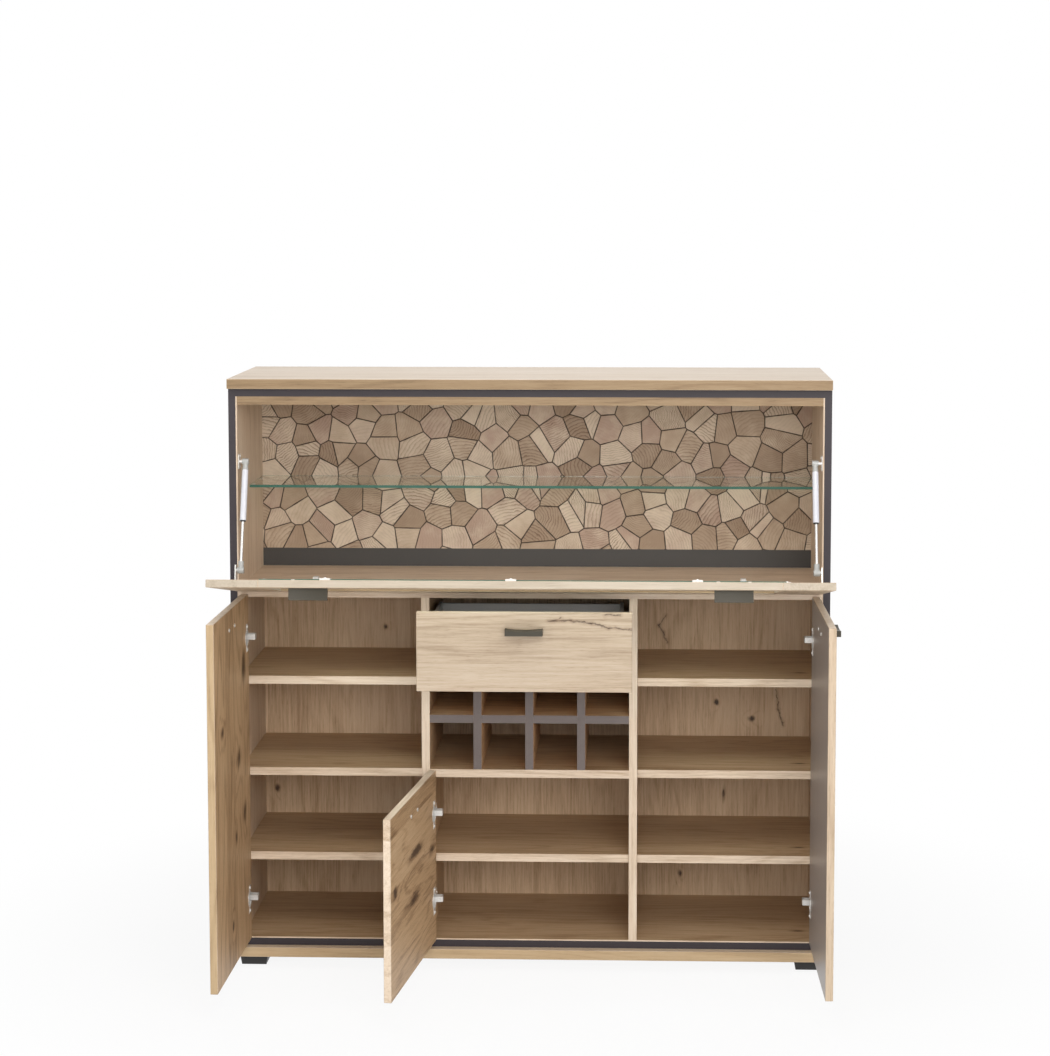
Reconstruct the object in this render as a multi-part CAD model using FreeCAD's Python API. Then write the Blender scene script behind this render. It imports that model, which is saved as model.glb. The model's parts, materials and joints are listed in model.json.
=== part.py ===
import FreeCAD, Part
import math
import os

# Bar highboard of oak-look boards in a graphite shadow frame.
# Millimetres. +X is right, -Y is the front, +Z is up.
# The origin is on the floor, under the middle of the carcass.
# The pieces are exported with the flap, the doors and the drawer standing open.

V = FreeCAD.Vector
X_AXIS = V(1, 0, 0)
Y_AXIS = V(0, 1, 0)
Z_AXIS = V(0, 0, 1)

# Overall size
WIDTH = 1330.0
DEPTH = 420.0
HEIGHT = 1330.0

# Boards
PLATE_THICKNESS = 22.0
SIDE_THICKNESS = 16.0
FLOOR_THICKNESS = 16.0
TOP_FRAME_THICKNESS = 18.0
LINING_THICKNESS = 3.0
BOARD_THICKNESS = 18.0
FRONT_THICKNESS = 16.0
BACK_THICKNESS = 8.0
BACK_RECESS = 7.0
PLATE_BACK_OVERHANG = 10.0
EDGE_EASE = 0.8

# Fronts: the play behind them, the reveal to the frame and the joint between neighbours
FRONT_GAP = 4.5
FRONT_REVEAL = 4.0
FRONT_JOINT = 3.0

# Bays: the shelves divide the space that they leave free in shares, from the floor up
UPPER_BAY_HEIGHT = 411.0
MIDDLE_BAY_WIDTH = 444.0
DRAWER_BAY_HEIGHT = 154.0
SIDE_BAY_SHELVES = 3
LOW_SPACE_SHARE = 0.24373
SECOND_SPACE_SHARE = 0.24373
THIRD_SPACE_SHARE = 0.26323
SHELF_SETBACK = 8.0
SHELF_CLEARANCE = 0.5

# Bottle rack: the lower row's share of the height that the cross board leaves free
LOWER_ROW_SHARE = 0.53571
RACK_COLUMNS = 4
LAP_CLEARANCE = 0.1

# Back wall of the upper bay
MOSAIC_THICKNESS = 8.0
BACK_STRIP_HEIGHT = 42.0

# Glass shelf and the pins that carry all the shelves
GLASS_SHELF_THICKNESS = 6.0
GLASS_SHELF_DEPTH = 199.0
GLASS_SHELF_RISE = 208.0
PIN_RADIUS = 2.5
PIN_IN_WALL = 8.0
PIN_OUT = 8.0
PIN_INSET = 40.0

# Feet
FOOT_HEIGHT = 30.0
FOOT_TOP = 65.0
FOOT_TAPER = 5.0
FOOT_SIDE_INSET = 8.0
FOOT_FRONT_INSET = 38.0
CENTRE_FOOT_RADIUS = 25.0
CENTRE_FOOT_STEM_RADIUS = 11.0
CENTRE_FOOT_PAD = 9.0

# Handles: lip pulls with a dished top, screwed from inside the front
HANDLE_LENGTH = 80.0
HANDLE_REACH = 25.0
HANDLE_HEIGHT = 13.0
HANDLE_DROP = 40.0
HANDLE_WALL = 3.0
HANDLE_DISH = 3.0
HANDLE_END = 12.0
HANDLE_CORNER = 1.0
HANDLE_POCKET_HEIGHT = 7.5
SCREW_SPACING = 64.0
SCREW_RADIUS = 2.0
SCREW_HEAD_RADIUS = 4.0
SCREW_HEAD_HEIGHT = 2.0
SCREW_BITE = 10.0

# Cup hinges: a goose-neck arm turns on a pin inside the cup
PIN_FROM_EDGE = 10.0
PIN_DEPTH = 10.0
HINGE_PIN_RADIUS = 1.2
HINGE_PIN_CLEARANCE = 0.05
EYE_RADIUS = 2.2
CUP_RADIUS = 17.5
CUP_WALL = 1.0
CUP_BOTTOM = 0.8
CUP_DEPTH = 13.2
CUP_FROM_EDGE = 22.5
FLANGE_THICKNESS = 1.0
FLANGE_RING = 2.0
FLANGE_LENGTH = 62.0
FLANGE_WIDTH = 16.0
EAR_THICKNESS = 3.0
EAR_GAP = 0.3
ARM_WIDTH = 12.0
ARM_SHEET = 2.0
ARM_HOOK_GAP = 1.5
ARM_INSET = 6.0
ARM_LENGTH = 50.0
ARM_BODY_WIDTH = 15.0
ARM_BODY_HEIGHT = 8.0
ARM_BEND_RADIUS = 0.8
ARM_PLATE_THICKNESS = 2.0
ARM_PLATE_SPAN = 48.0
ARM_PLATE_LENGTH = 36.0
HINGE_FROM_END = 95.0
FLAP_HINGE_FROM_STILE = 64.0

# Flap: a frame with a glass pane held by clips, which are set a little left of the middle
STILE_WIDTH = 108.0
RAIL_HEIGHT = 100.0
PANE_THICKNESS = 4.0
PANE_LAP = 12.0
CLIP_WIDTH = 22.0
CLIP_LENGTH = 16.0
CLIP_SHEET = 2.0
CLIP_SPACING = 387.0
CLIP_SHIFT = -22.0

# Gas struts between the side linings and the flap
STRUT_FROM_LINING = 16.0
STRUT_PIVOT_SETBACK = 14.5
STRUT_PIVOT_RISE = 283.0
STRUT_STUD_FROM_PIN = 63.0
STRUT_STUD_HEIGHT = 29.0
STUD_RADIUS = 4.0
STUD_CLEARANCE = 0.05
STUD_END_GAP = 0.5
STRUT_TUBE_RADIUS = 7.0
STRUT_TUBE_START = 16.0
STRUT_TUBE_END = 134.0
STRUT_ROD_RADIUS = 3.0
STRUT_ROD_CLEARANCE = 0.05
STRUT_ROD_IN_TUBE = 64.0
STRUT_BORE_START = 30.0
FITTING_RADIUS = 7.0
FITTING_WIDTH = 14.0
FITTING_NECK_RADIUS = 6.0
FITTING_NECK_LENGTH = 20.0
BRACKET_SHEET = 2.0
BRACKET_SIZE = 32.0
BRACKET_WIDTH = 24.0

# Drawer
DRAWER_WALL = 8.0
DRAWER_BACK_ROOM = 29.0
DRAWER_BOX_HEIGHT = 115.0
DRAWER_BOX_LIFT = 11.0
DRAWER_BACK_DROP = 3.0
DRAWER_BOTTOM_RISE = 6.0
DRAWER_SIDE_ROOM = 13.0
RUNNER_HEIGHT = 45.0
RUNNER_DEPTH = 11.0
RUNNER_SHEET = 1.2
RUNNER_PLAY = 0.8
RUNNER_WEB_PLAY = 0.5
RUNNER_RISE = 46.0
RUNNER_SETBACK = 4.0

# How far each piece stands open
FLAP_OPEN_DEG = 80.0
SIDE_DOOR_OPEN_DEG = 91.0
CENTRE_DOOR_OPEN_DEG = 97.0
DRAWER_OPEN = 220.0

# Planes from front to back
FRONT_Y = -DEPTH / 2
FRONT_BACK_Y = FRONT_Y + FRONT_THICKNESS
CARCASS_Y = FRONT_BACK_Y + FRONT_GAP
PLATE_BACK_Y = DEPTH / 2
SIDE_BACK_Y = PLATE_BACK_Y - PLATE_BACK_OVERHANG
BACK_Y = SIDE_BACK_Y - BACK_RECESS - BACK_THICKNESS
MOSAIC_Y = BACK_Y - MOSAIC_THICKNESS
PIN_Y = FRONT_BACK_Y - PIN_DEPTH
DRAWER_BOX_DEPTH = BACK_Y - DRAWER_BACK_ROOM - FRONT_BACK_Y

# Planes from side to side, given for the right half
SIDE_OUT_X = WIDTH / 2
SIDE_IN_X = SIDE_OUT_X - SIDE_THICKNESS
LINING_X = SIDE_IN_X - LINING_THICKNESS
DIVIDER_IN_X = MIDDLE_BAY_WIDTH / 2
DIVIDER_OUT_X = DIVIDER_IN_X + BOARD_THICKNESS
DIVIDER_MID_X = DIVIDER_IN_X + BOARD_THICKNESS / 2
FRONT_EDGE_X = SIDE_IN_X - FRONT_REVEAL
DOOR_MEETING_X = DIVIDER_MID_X + FRONT_JOINT / 2
CENTRE_FRONT_X = DIVIDER_MID_X - FRONT_JOINT / 2
DRAWER_BOX_X = DIVIDER_IN_X - DRAWER_SIDE_ROOM
STRUT_X = LINING_X - STRUT_FROM_LINING
WINDOW_X = FRONT_EDGE_X - STILE_WIDTH
FLAP_HINGE_X = WINDOW_X - FLAP_HINGE_FROM_STILE

# Planes from the floor up
BOTTOM_PLATE_Z = FOOT_HEIGHT
FLOOR_Z = BOTTOM_PLATE_Z + PLATE_THICKNESS
FLOOR_LINING_Z = FLOOR_Z + FLOOR_THICKNESS
BAY_FLOOR_Z = FLOOR_LINING_Z + LINING_THICKNESS
TOP_PLATE_Z = HEIGHT - PLATE_THICKNESS
TOP_FRAME_Z = TOP_PLATE_Z - TOP_FRAME_THICKNESS
CEILING_Z = TOP_FRAME_Z - BOARD_THICKNESS
UPPER_FLOOR_Z = CEILING_Z - UPPER_BAY_HEIGHT
MIDDLE_Z = UPPER_FLOOR_Z - BOARD_THICKNESS
MIDDLE_MID_Z = MIDDLE_Z + BOARD_THICKNESS / 2
SHELF_SPACE = MIDDLE_Z - BAY_FLOOR_Z - SIDE_BAY_SHELVES * BOARD_THICKNESS
FIRST_SHELF_Z = BAY_FLOOR_Z + LOW_SPACE_SHARE * SHELF_SPACE
SECOND_SHELF_Z = FIRST_SHELF_Z + BOARD_THICKNESS + SECOND_SPACE_SHARE * SHELF_SPACE
THIRD_SHELF_Z = SECOND_SHELF_Z + BOARD_THICKNESS + THIRD_SPACE_SHARE * SHELF_SPACE
RACK_BOTTOM_Z = SECOND_SHELF_Z + BOARD_THICKNESS
DRAWER_BAY_Z = MIDDLE_Z - DRAWER_BAY_HEIGHT
DRAWER_PANEL_Z = DRAWER_BAY_Z - BOARD_THICKNESS
DRAWER_PANEL_MID_Z = DRAWER_PANEL_Z + BOARD_THICKNESS / 2
RACK_CROSS_Z = RACK_BOTTOM_Z + LOWER_ROW_SHARE * (DRAWER_PANEL_Z - RACK_BOTTOM_Z - BOARD_THICKNESS)
FRONT_BOTTOM_Z = FLOOR_LINING_Z + FRONT_JOINT / 2
DOOR_TOP_Z = MIDDLE_MID_Z - FRONT_JOINT / 2
CENTRE_DOOR_TOP_Z = RACK_BOTTOM_Z - FRONT_JOINT / 2
FLAP_BOTTOM_Z = MIDDLE_MID_Z + FRONT_JOINT / 2
FLAP_TOP_Z = TOP_FRAME_Z - FRONT_REVEAL
GLASS_SHELF_Z = UPPER_FLOOR_Z + GLASS_SHELF_RISE


def board(x0, x1, y0, y1, z0, z1):
    """A rectangular board between two corners."""
    return Part.makeBox(x1 - x0, y1 - y0, z1 - z0, V(x0, y0, z0))


def eased(solid):
    """A board with every sharp edge eased."""
    return solid.makeChamfer(EDGE_EASE, solid.Edges)


def export(name, *solids):
    """One STEP file for a piece, or for a group of like pieces."""
    shape = solids[0] if len(solids) == 1 else Part.makeCompound(list(solids))
    shape.exportStep(f"parts/{name}.step")


def cut_all(solid, tools):
    """A solid less each of the tools."""
    return solid.cut(list(tools)) if tools else solid


def placed(shape, origin, along, inward):
    """A shape from its own axes to an origin, with its X along and its Y inward."""
    across = along.cross(inward)
    matrix = FreeCAD.Matrix(
        along.x, inward.x, across.x, origin.x,
        along.y, inward.y, across.y, origin.y,
        along.z, inward.z, across.z, origin.z,
        0, 0, 0, 1,
    )
    moved = shape.copy()
    moved.Placement = FreeCAD.Placement(matrix)
    return moved


# Carcass boards
def make_carcass_frame():
    """The oak plates, the graphite frame between them and the thin oak linings."""
    for name, z in (("top_panel", TOP_PLATE_Z), ("bottom_panel", BOTTOM_PLATE_Z)):
        plate = board(-SIDE_OUT_X, SIDE_OUT_X, FRONT_Y, PLATE_BACK_Y, z, z + PLATE_THICKNESS)
        export(name, eased(plate))
    export("top_frame_board", board(-SIDE_IN_X, SIDE_IN_X, CARCASS_Y, SIDE_BACK_Y, TOP_FRAME_Z, TOP_PLATE_Z))
    export("floor_board", board(-SIDE_IN_X, SIDE_IN_X, CARCASS_Y, SIDE_BACK_Y, FLOOR_Z, FLOOR_LINING_Z))
    export("floor_lining", board(-LINING_X, LINING_X, CARCASS_Y, BACK_Y, FLOOR_LINING_Z, BAY_FLOOR_Z))
    export("ceiling_panel", board(-LINING_X, LINING_X, CARCASS_Y, BACK_Y, CEILING_Z, TOP_FRAME_Z))
    export("middle_panel", board(-LINING_X, LINING_X, CARCASS_Y, BACK_Y, MIDDLE_Z, UPPER_FLOOR_Z))
    back_panel = board(-SIDE_IN_X, SIDE_IN_X, BACK_Y, BACK_Y + BACK_THICKNESS, FLOOR_LINING_Z, TOP_FRAME_Z)
    export("back_panel", back_panel)
    strip_top = UPPER_FLOOR_Z + BACK_STRIP_HEIGHT
    export("back_wall_strip", board(-LINING_X, LINING_X, MOSAIC_Y, BACK_Y, UPPER_FLOOR_Z, strip_top))
    export("mosaic_back_panel", board(-LINING_X, LINING_X, MOSAIC_Y, BACK_Y, strip_top, CEILING_Z))


def make_uprights(pins):
    """Side panels, linings and dividers, drilled for the shelf pins."""
    linings = []
    dividers = []
    for name, side in (("left", -1), ("right", 1)):
        panel = board(0, SIDE_THICKNESS, CARCASS_Y, SIDE_BACK_Y, FLOOR_Z, TOP_PLATE_Z)
        panel.translate(V(SIDE_IN_X if side > 0 else -SIDE_OUT_X, 0, 0))
        export(f"{name}_side_panel", cut_all(panel, pins))
        lining = board(0, LINING_THICKNESS, CARCASS_Y, BACK_Y, FLOOR_LINING_Z, TOP_FRAME_Z)
        lining.translate(V(LINING_X if side > 0 else -SIDE_IN_X, 0, 0))
        linings.append(cut_all(lining, pins))
        divider = board(0, BOARD_THICKNESS, CARCASS_Y, BACK_Y, BAY_FLOOR_Z, MIDDLE_Z)
        divider.translate(V(DIVIDER_IN_X if side > 0 else -DIVIDER_OUT_X, 0, 0))
        dividers.append(cut_all(divider, pins))
    export("side_linings", *linings)
    export("dividers", *dividers)


# Shelves and their pins
def shelf_pin(x, y, z, direction):
    """A peg at a wall's face, half in the wall and half out under a shelf."""
    start = V(x - direction * PIN_IN_WALL, y, z - PIN_RADIUS)
    return Part.makeCylinder(PIN_RADIUS, PIN_IN_WALL + PIN_OUT, start, V(direction, 0, 0))


def shelf_on_pins(x0, x1, y0, y1, z, thickness):
    """A shelf between two walls, and the four pins that it lies on."""
    shelf = board(x0 + SHELF_CLEARANCE, x1 - SHELF_CLEARANCE, y0, y1 - SHELF_CLEARANCE, z, z + thickness)
    pins = []
    for y in (y0 + PIN_INSET, y1 - PIN_INSET):
        pins.append(shelf_pin(x0, y, z, 1))
        pins.append(shelf_pin(x1, y, z, -1))
    return shelf, pins


def make_shelves():
    """Every loose shelf. Returns the pins, for drilling the walls."""
    front = CARCASS_Y + SHELF_SETBACK
    side_heights = (FIRST_SHELF_Z, SECOND_SHELF_Z, THIRD_SHELF_Z)
    bays = (
        (-LINING_X, -DIVIDER_OUT_X, side_heights),
        (-DIVIDER_IN_X, DIVIDER_IN_X, (FIRST_SHELF_Z,)),
        (DIVIDER_OUT_X, LINING_X, side_heights),
    )
    shelves = []
    pins = []
    for x0, x1, heights in bays:
        for z in heights:
            shelf, own_pins = shelf_on_pins(x0, x1, front, BACK_Y, z, BOARD_THICKNESS)
            shelves.append(shelf)
            pins += own_pins
    export("shelves", *shelves)
    glass_front = MOSAIC_Y - GLASS_SHELF_DEPTH
    glass, own_pins = shelf_on_pins(
        -LINING_X, LINING_X, glass_front, MOSAIC_Y, GLASS_SHELF_Z, GLASS_SHELF_THICKNESS
    )
    export("glass_shelf", glass)
    pins += own_pins
    export("shelf_pins", *pins)
    return pins


# Bottle rack
def make_rack():
    """The boards between the dividers, and the lattice that parts the bottle cells."""
    for name, z in (("rack_floor_panel", SECOND_SHELF_Z), ("drawer_support_panel", DRAWER_PANEL_Z)):
        export(name, board(-DIVIDER_IN_X, DIVIDER_IN_X, CARCASS_Y, BACK_Y, z, z + BOARD_THICKNESS))
    cell = (MIDDLE_BAY_WIDTH - (RACK_COLUMNS - 1) * BOARD_THICKNESS) / RACK_COLUMNS
    lap_y = (CARCASS_Y + BACK_Y) / 2
    cross_top = RACK_CROSS_Z + BOARD_THICKNESS
    cross = board(-DIVIDER_IN_X, DIVIDER_IN_X, CARCASS_Y, BACK_Y, RACK_CROSS_Z, cross_top)
    uprights = []
    for column in range(1, RACK_COLUMNS):
        x = -DIVIDER_IN_X + column * cell + (column - 1) * BOARD_THICKNESS
        upright = board(x, x + BOARD_THICKNESS, CARCASS_Y, BACK_Y, RACK_BOTTOM_Z, DRAWER_PANEL_Z)
        rear_slot = board(
            x, x + BOARD_THICKNESS, lap_y, BACK_Y,
            RACK_CROSS_Z - LAP_CLEARANCE, cross_top + LAP_CLEARANCE,
        )
        front_slot = board(
            x - LAP_CLEARANCE, x + BOARD_THICKNESS + LAP_CLEARANCE, CARCASS_Y, lap_y,
            RACK_CROSS_Z, cross_top,
        )
        uprights.append(upright.cut(rear_slot))
        cross = cross.cut(front_slot)
    export("rack_uprights", *uprights)
    export("rack_cross_board", cross)


# Feet
def make_feet():
    """Four tapered block feet and a round support foot under the middle."""
    half_top = FOOT_TOP / 2
    half_bottom = half_top - FOOT_TAPER
    x = SIDE_OUT_X - FOOT_SIDE_INSET - half_top
    y = PLATE_BACK_Y - FOOT_FRONT_INSET - half_top
    feet = []
    for foot_x in (-x, x):
        for foot_y in (-y, y):
            foot = Part.makeWedge(
                -half_bottom, 0, -half_bottom, -half_top, -half_top,
                half_bottom, FOOT_HEIGHT, half_bottom, half_top, half_top,
            )
            foot.rotate(V(), X_AXIS, 90)
            foot.translate(V(foot_x, foot_y, 0))
            feet.append(foot)
    export("feet", *feet)
    profile = Part.makePolygon([
        V(0, 0, 0),
        V(CENTRE_FOOT_RADIUS, 0, 0),
        V(CENTRE_FOOT_RADIUS, 0, CENTRE_FOOT_PAD),
        V(CENTRE_FOOT_STEM_RADIUS, 0, CENTRE_FOOT_PAD),
        V(CENTRE_FOOT_STEM_RADIUS, 0, FOOT_HEIGHT),
        V(0, 0, FOOT_HEIGHT),
        V(0, 0, 0),
    ])
    export("centre_support_foot", Part.Face(profile).revolve(V(), Z_AXIS, 360))


# Handles
def make_handle(x, top_z):
    """A lip pull on a closed front, and its two screws."""
    half = HANDLE_LENGTH / 2
    body = Part.makeBox(HANDLE_LENGTH, HANDLE_REACH, HANDLE_HEIGHT, V(-half, 0, 0))
    corners = [
        e for e in body.Edges
        if abs(e.tangentAt(e.FirstParameter).z) > 0.9 and e.CenterOfMass.y > HANDLE_REACH / 2
    ]
    body = body.makeFillet(HANDLE_CORNER, corners)
    pocket_half = half - HANDLE_END
    pocket_reach = HANDLE_REACH - 2 * HANDLE_WALL
    pocket_start = V(-pocket_half, HANDLE_WALL, 0)
    pocket = Part.makeBox(2 * pocket_half, pocket_reach, HANDLE_POCKET_HEIGHT, pocket_start)
    dish_half = half - HANDLE_CORNER
    dish_radius = (dish_half**2 + HANDLE_DISH**2) / (2 * HANDLE_DISH)
    dish_centre = V(0, 0, HANDLE_HEIGHT - HANDLE_DISH + dish_radius)
    dish = Part.makeCylinder(dish_radius, HANDLE_REACH, dish_centre, Y_AXIS)
    body = body.cut([pocket, dish])
    body.rotate(V(), Z_AXIS, 180)
    centre_z = top_z - HANDLE_DROP
    body.translate(V(x, FRONT_Y, centre_z - HANDLE_HEIGHT / 2))
    screws = []
    for offset in (-SCREW_SPACING / 2, SCREW_SPACING / 2):
        tip = V(x + offset, FRONT_Y - SCREW_BITE, centre_z - HANDLE_DISH / 2)
        shank = Part.makeCylinder(SCREW_RADIUS, FRONT_THICKNESS + SCREW_BITE, tip, Y_AXIS)
        seat = V(tip.x, FRONT_BACK_Y, tip.z)
        head = Part.makeCylinder(SCREW_HEAD_RADIUS, SCREW_HEAD_HEIGHT, seat, Y_AXIS)
        screws.append(shank.fuse(head).removeSplitter())
    return cut_all(body, screws), screws


# Cup hinges, in their own axes: the pin at the origin along Z, the front along +X, the inside at +Y
def make_cup():
    """The cup with its flange, two ears and the pin. Its bore in the front is a plain cylinder."""
    centre_x = CUP_FROM_EDGE - PIN_FROM_EDGE
    bottom_y = PIN_DEPTH - CUP_DEPTH
    inner_radius = CUP_RADIUS - CUP_WALL
    bore = Part.makeCylinder(CUP_RADIUS, CUP_DEPTH, V(centre_x, bottom_y, 0), Y_AXIS)
    ring = Part.makeCylinder(CUP_RADIUS + FLANGE_RING, FLANGE_THICKNESS, V(centre_x, PIN_DEPTH, 0), Y_AXIS)
    wings = Part.makeBox(
        FLANGE_WIDTH, FLANGE_THICKNESS, FLANGE_LENGTH,
        V(centre_x - FLANGE_WIDTH / 2, PIN_DEPTH, -FLANGE_LENGTH / 2),
    )
    hollow = Part.makeCylinder(
        inner_radius, CUP_DEPTH + FLANGE_THICKNESS, V(centre_x, bottom_y + CUP_BOTTOM, 0), Y_AXIS
    )
    cup = bore.fuse([ring, wings]).cut(hollow)
    ear_start = ARM_WIDTH / 2 + EAR_GAP
    ear_end = ear_start + EAR_THICKNESS
    for z in (-ear_end, ear_start):
        ear = Part.makeBox(
            2 * EYE_RADIUS, EYE_RADIUS - bottom_y, EAR_THICKNESS, V(-EYE_RADIUS, bottom_y, z)
        )
        cup = cup.fuse(ear.common(bore))
    pin = Part.makeCylinder(HINGE_PIN_RADIUS, 2 * ear_end, V(0, 0, -ear_end), Z_AXIS)
    return cup.fuse(pin).removeSplitter(), bore


def make_arm(wall_offset):
    """The goose-neck arm with its mounting plate, on a wall this far behind the pin.

    The hook goes out to just short of the cup's far wall.
    """
    sheet = ARM_SHEET / 2
    cup_half = math.sqrt((CUP_RADIUS - CUP_WALL)**2 - (ARM_WIDTH / 2)**2)
    reach = CUP_FROM_EDGE - PIN_FROM_EDGE + cup_half - ARM_HOOK_GAP
    inside = CARCASS_Y - PIN_Y + ARM_INSET
    foot_x = ARM_PLATE_THICKNESS - wall_offset
    outline = [
        V(0, -sheet, 0),
        V(reach, -sheet, 0),
        V(reach, inside, 0),
        V(foot_x, inside, 0),
        V(foot_x, inside - ARM_SHEET, 0),
        V(reach - ARM_SHEET, inside - ARM_SHEET, 0),
        V(reach - ARM_SHEET, sheet, 0),
        V(0, sheet, 0),
        V(0, -sheet, 0),
    ]
    hook = Part.Face(Part.makePolygon(outline)).extrude(V(0, 0, ARM_WIDTH))
    bends = [
        e for e in hook.Edges
        if abs(e.tangentAt(e.FirstParameter).z) > 0.9 and e.CenterOfMass.x > reach - 1.5 * ARM_SHEET
    ]
    hook = hook.makeFillet(ARM_BEND_RADIUS, bends)
    hook.translate(V(0, 0, -ARM_WIDTH / 2))
    eye = Part.makeCylinder(EYE_RADIUS, ARM_WIDTH, V(0, 0, -ARM_WIDTH / 2), Z_AXIS)
    body = Part.makeBox(
        ARM_BODY_HEIGHT, ARM_LENGTH, ARM_BODY_WIDTH, V(foot_x, inside - ARM_SHEET, -ARM_BODY_WIDTH / 2)
    )
    plate = Part.makeBox(
        ARM_PLATE_THICKNESS, ARM_PLATE_LENGTH, ARM_PLATE_SPAN,
        V(-wall_offset, inside + ARM_INSET, -ARM_PLATE_SPAN / 2),
    )
    arm = hook.fuse([eye, body, plate])
    bore = Part.makeCylinder(
        HINGE_PIN_RADIUS + HINGE_PIN_CLEARANCE, ARM_WIDTH, V(0, 0, -ARM_WIDTH / 2), Z_AXIS
    )
    return arm.cut(bore).removeSplitter()


def make_hinges(pivots, along, wall_offset):
    """Cups, bores and arms of a row of hinges on one front."""
    cup, bore = make_cup()
    arm = make_arm(wall_offset)
    cups = [placed(cup, p, along, Y_AXIS) for p in pivots]
    bores = [placed(bore, p, along, Y_AXIS) for p in pivots]
    arms = [placed(arm, p, along, Y_AXIS) for p in pivots]
    return cups, bores, arms


# Doors
def make_door(name, edge_x, far_x, top_z, wall_x, open_deg):
    """A cup-hinged door with its handle, standing open."""
    sign = 1 if far_x > edge_x else -1
    pivot_x = edge_x + sign * PIN_FROM_EDGE
    heights = (FRONT_BOTTOM_Z + HINGE_FROM_END, top_z - HINGE_FROM_END)
    pivots = [V(pivot_x, PIN_Y, z) for z in heights]
    cups, bores, arms = make_hinges(pivots, V(sign, 0, 0), abs(pivot_x - wall_x))
    handle, screws = make_handle((edge_x + far_x) / 2, top_z)
    left, right = sorted((edge_x, far_x))
    panel = eased(board(left, right, FRONT_Y, FRONT_BACK_Y, FRONT_BOTTOM_Z, top_z))
    panel = cut_all(panel, bores + screws)

    def opened(solid):
        return solid.rotated(V(pivot_x, PIN_Y, 0), Z_AXIS, -sign * open_deg)

    export(f"{name}_panel", opened(panel))
    export(f"{name}_handle", opened(handle))
    export(f"{name}_handle_screws", *map(opened, screws))
    export(f"{name}_hinge_cups", *map(opened, cups))
    export(f"{name}_hinge_arms", *arms)


def make_doors():
    """Two outer doors hinged on the side linings and the centre door on the left divider."""
    make_door("left_door", -FRONT_EDGE_X, -DOOR_MEETING_X, DOOR_TOP_Z, -LINING_X, SIDE_DOOR_OPEN_DEG)
    make_door("right_door", FRONT_EDGE_X, DOOR_MEETING_X, DOOR_TOP_Z, LINING_X, SIDE_DOOR_OPEN_DEG)
    make_door(
        "centre_door", -CENTRE_FRONT_X, CENTRE_FRONT_X, CENTRE_DOOR_TOP_Z, -DIVIDER_IN_X,
        CENTRE_DOOR_OPEN_DEG,
    )


# Flap
FLAP_PIVOT_Z = FLAP_BOTTOM_Z + PIN_FROM_EDGE
FLAP_PIVOT = V(0, PIN_Y, FLAP_PIVOT_Z)
STUD_CLOSED = V(0, FRONT_BACK_Y + STRUT_STUD_HEIGHT, FLAP_PIVOT_Z + STRUT_STUD_FROM_PIN)
STUD_START_X = STRUT_X + FITTING_WIDTH / 2 + STUD_END_GAP


def flap_opened(solid):
    """A piece of the closed flap, turned down to its open stop."""
    return solid.rotated(FLAP_PIVOT, X_AXIS, FLAP_OPEN_DEG)


def make_clip(x, z, along):
    """A stepped clip: its foot on the frame, its tongue over the pane."""
    back = FRONT_BACK_Y + PANE_THICKNESS
    foot = Part.makeBox(CLIP_LENGTH, back + CLIP_SHEET - FRONT_BACK_Y, CLIP_WIDTH)
    foot.translate(V(0, FRONT_BACK_Y, -CLIP_WIDTH / 2))
    tongue = Part.makeBox(PANE_LAP, CLIP_SHEET, CLIP_WIDTH, V(-PANE_LAP, back, -CLIP_WIDTH / 2))
    clip = foot.fuse(tongue).removeSplitter()
    turns = {"right": 0, "up": -90, "left": 180, "down": 90}
    clip.rotate(V(), Y_AXIS, turns[along])
    clip.translate(V(x, 0, z))
    return clip


def make_strut_bracket(side):
    """An angle on the flap's stile, with the short stud that faces the strut's lower end."""
    plate_x = STUD_START_X + BRACKET_SHEET
    half = BRACKET_WIDTH / 2
    plate = Part.makeBox(
        BRACKET_SHEET, STRUT_STUD_HEIGHT + half, BRACKET_WIDTH,
        V(plate_x, FRONT_BACK_Y, STUD_CLOSED.z - half),
    )
    foot = Part.makeBox(
        BRACKET_SIZE, BRACKET_SHEET, BRACKET_WIDTH,
        V(plate_x + BRACKET_SHEET - BRACKET_SIZE, FRONT_BACK_Y, STUD_CLOSED.z - half),
    )
    stud = Part.makeCylinder(
        STUD_RADIUS, BRACKET_SHEET, V(STUD_START_X, STUD_CLOSED.y, STUD_CLOSED.z), X_AXIS
    )
    bracket = plate.fuse([foot, stud]).removeSplitter()
    if side < 0:
        bracket = bracket.mirror(V(), X_AXIS)
    return bracket


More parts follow.
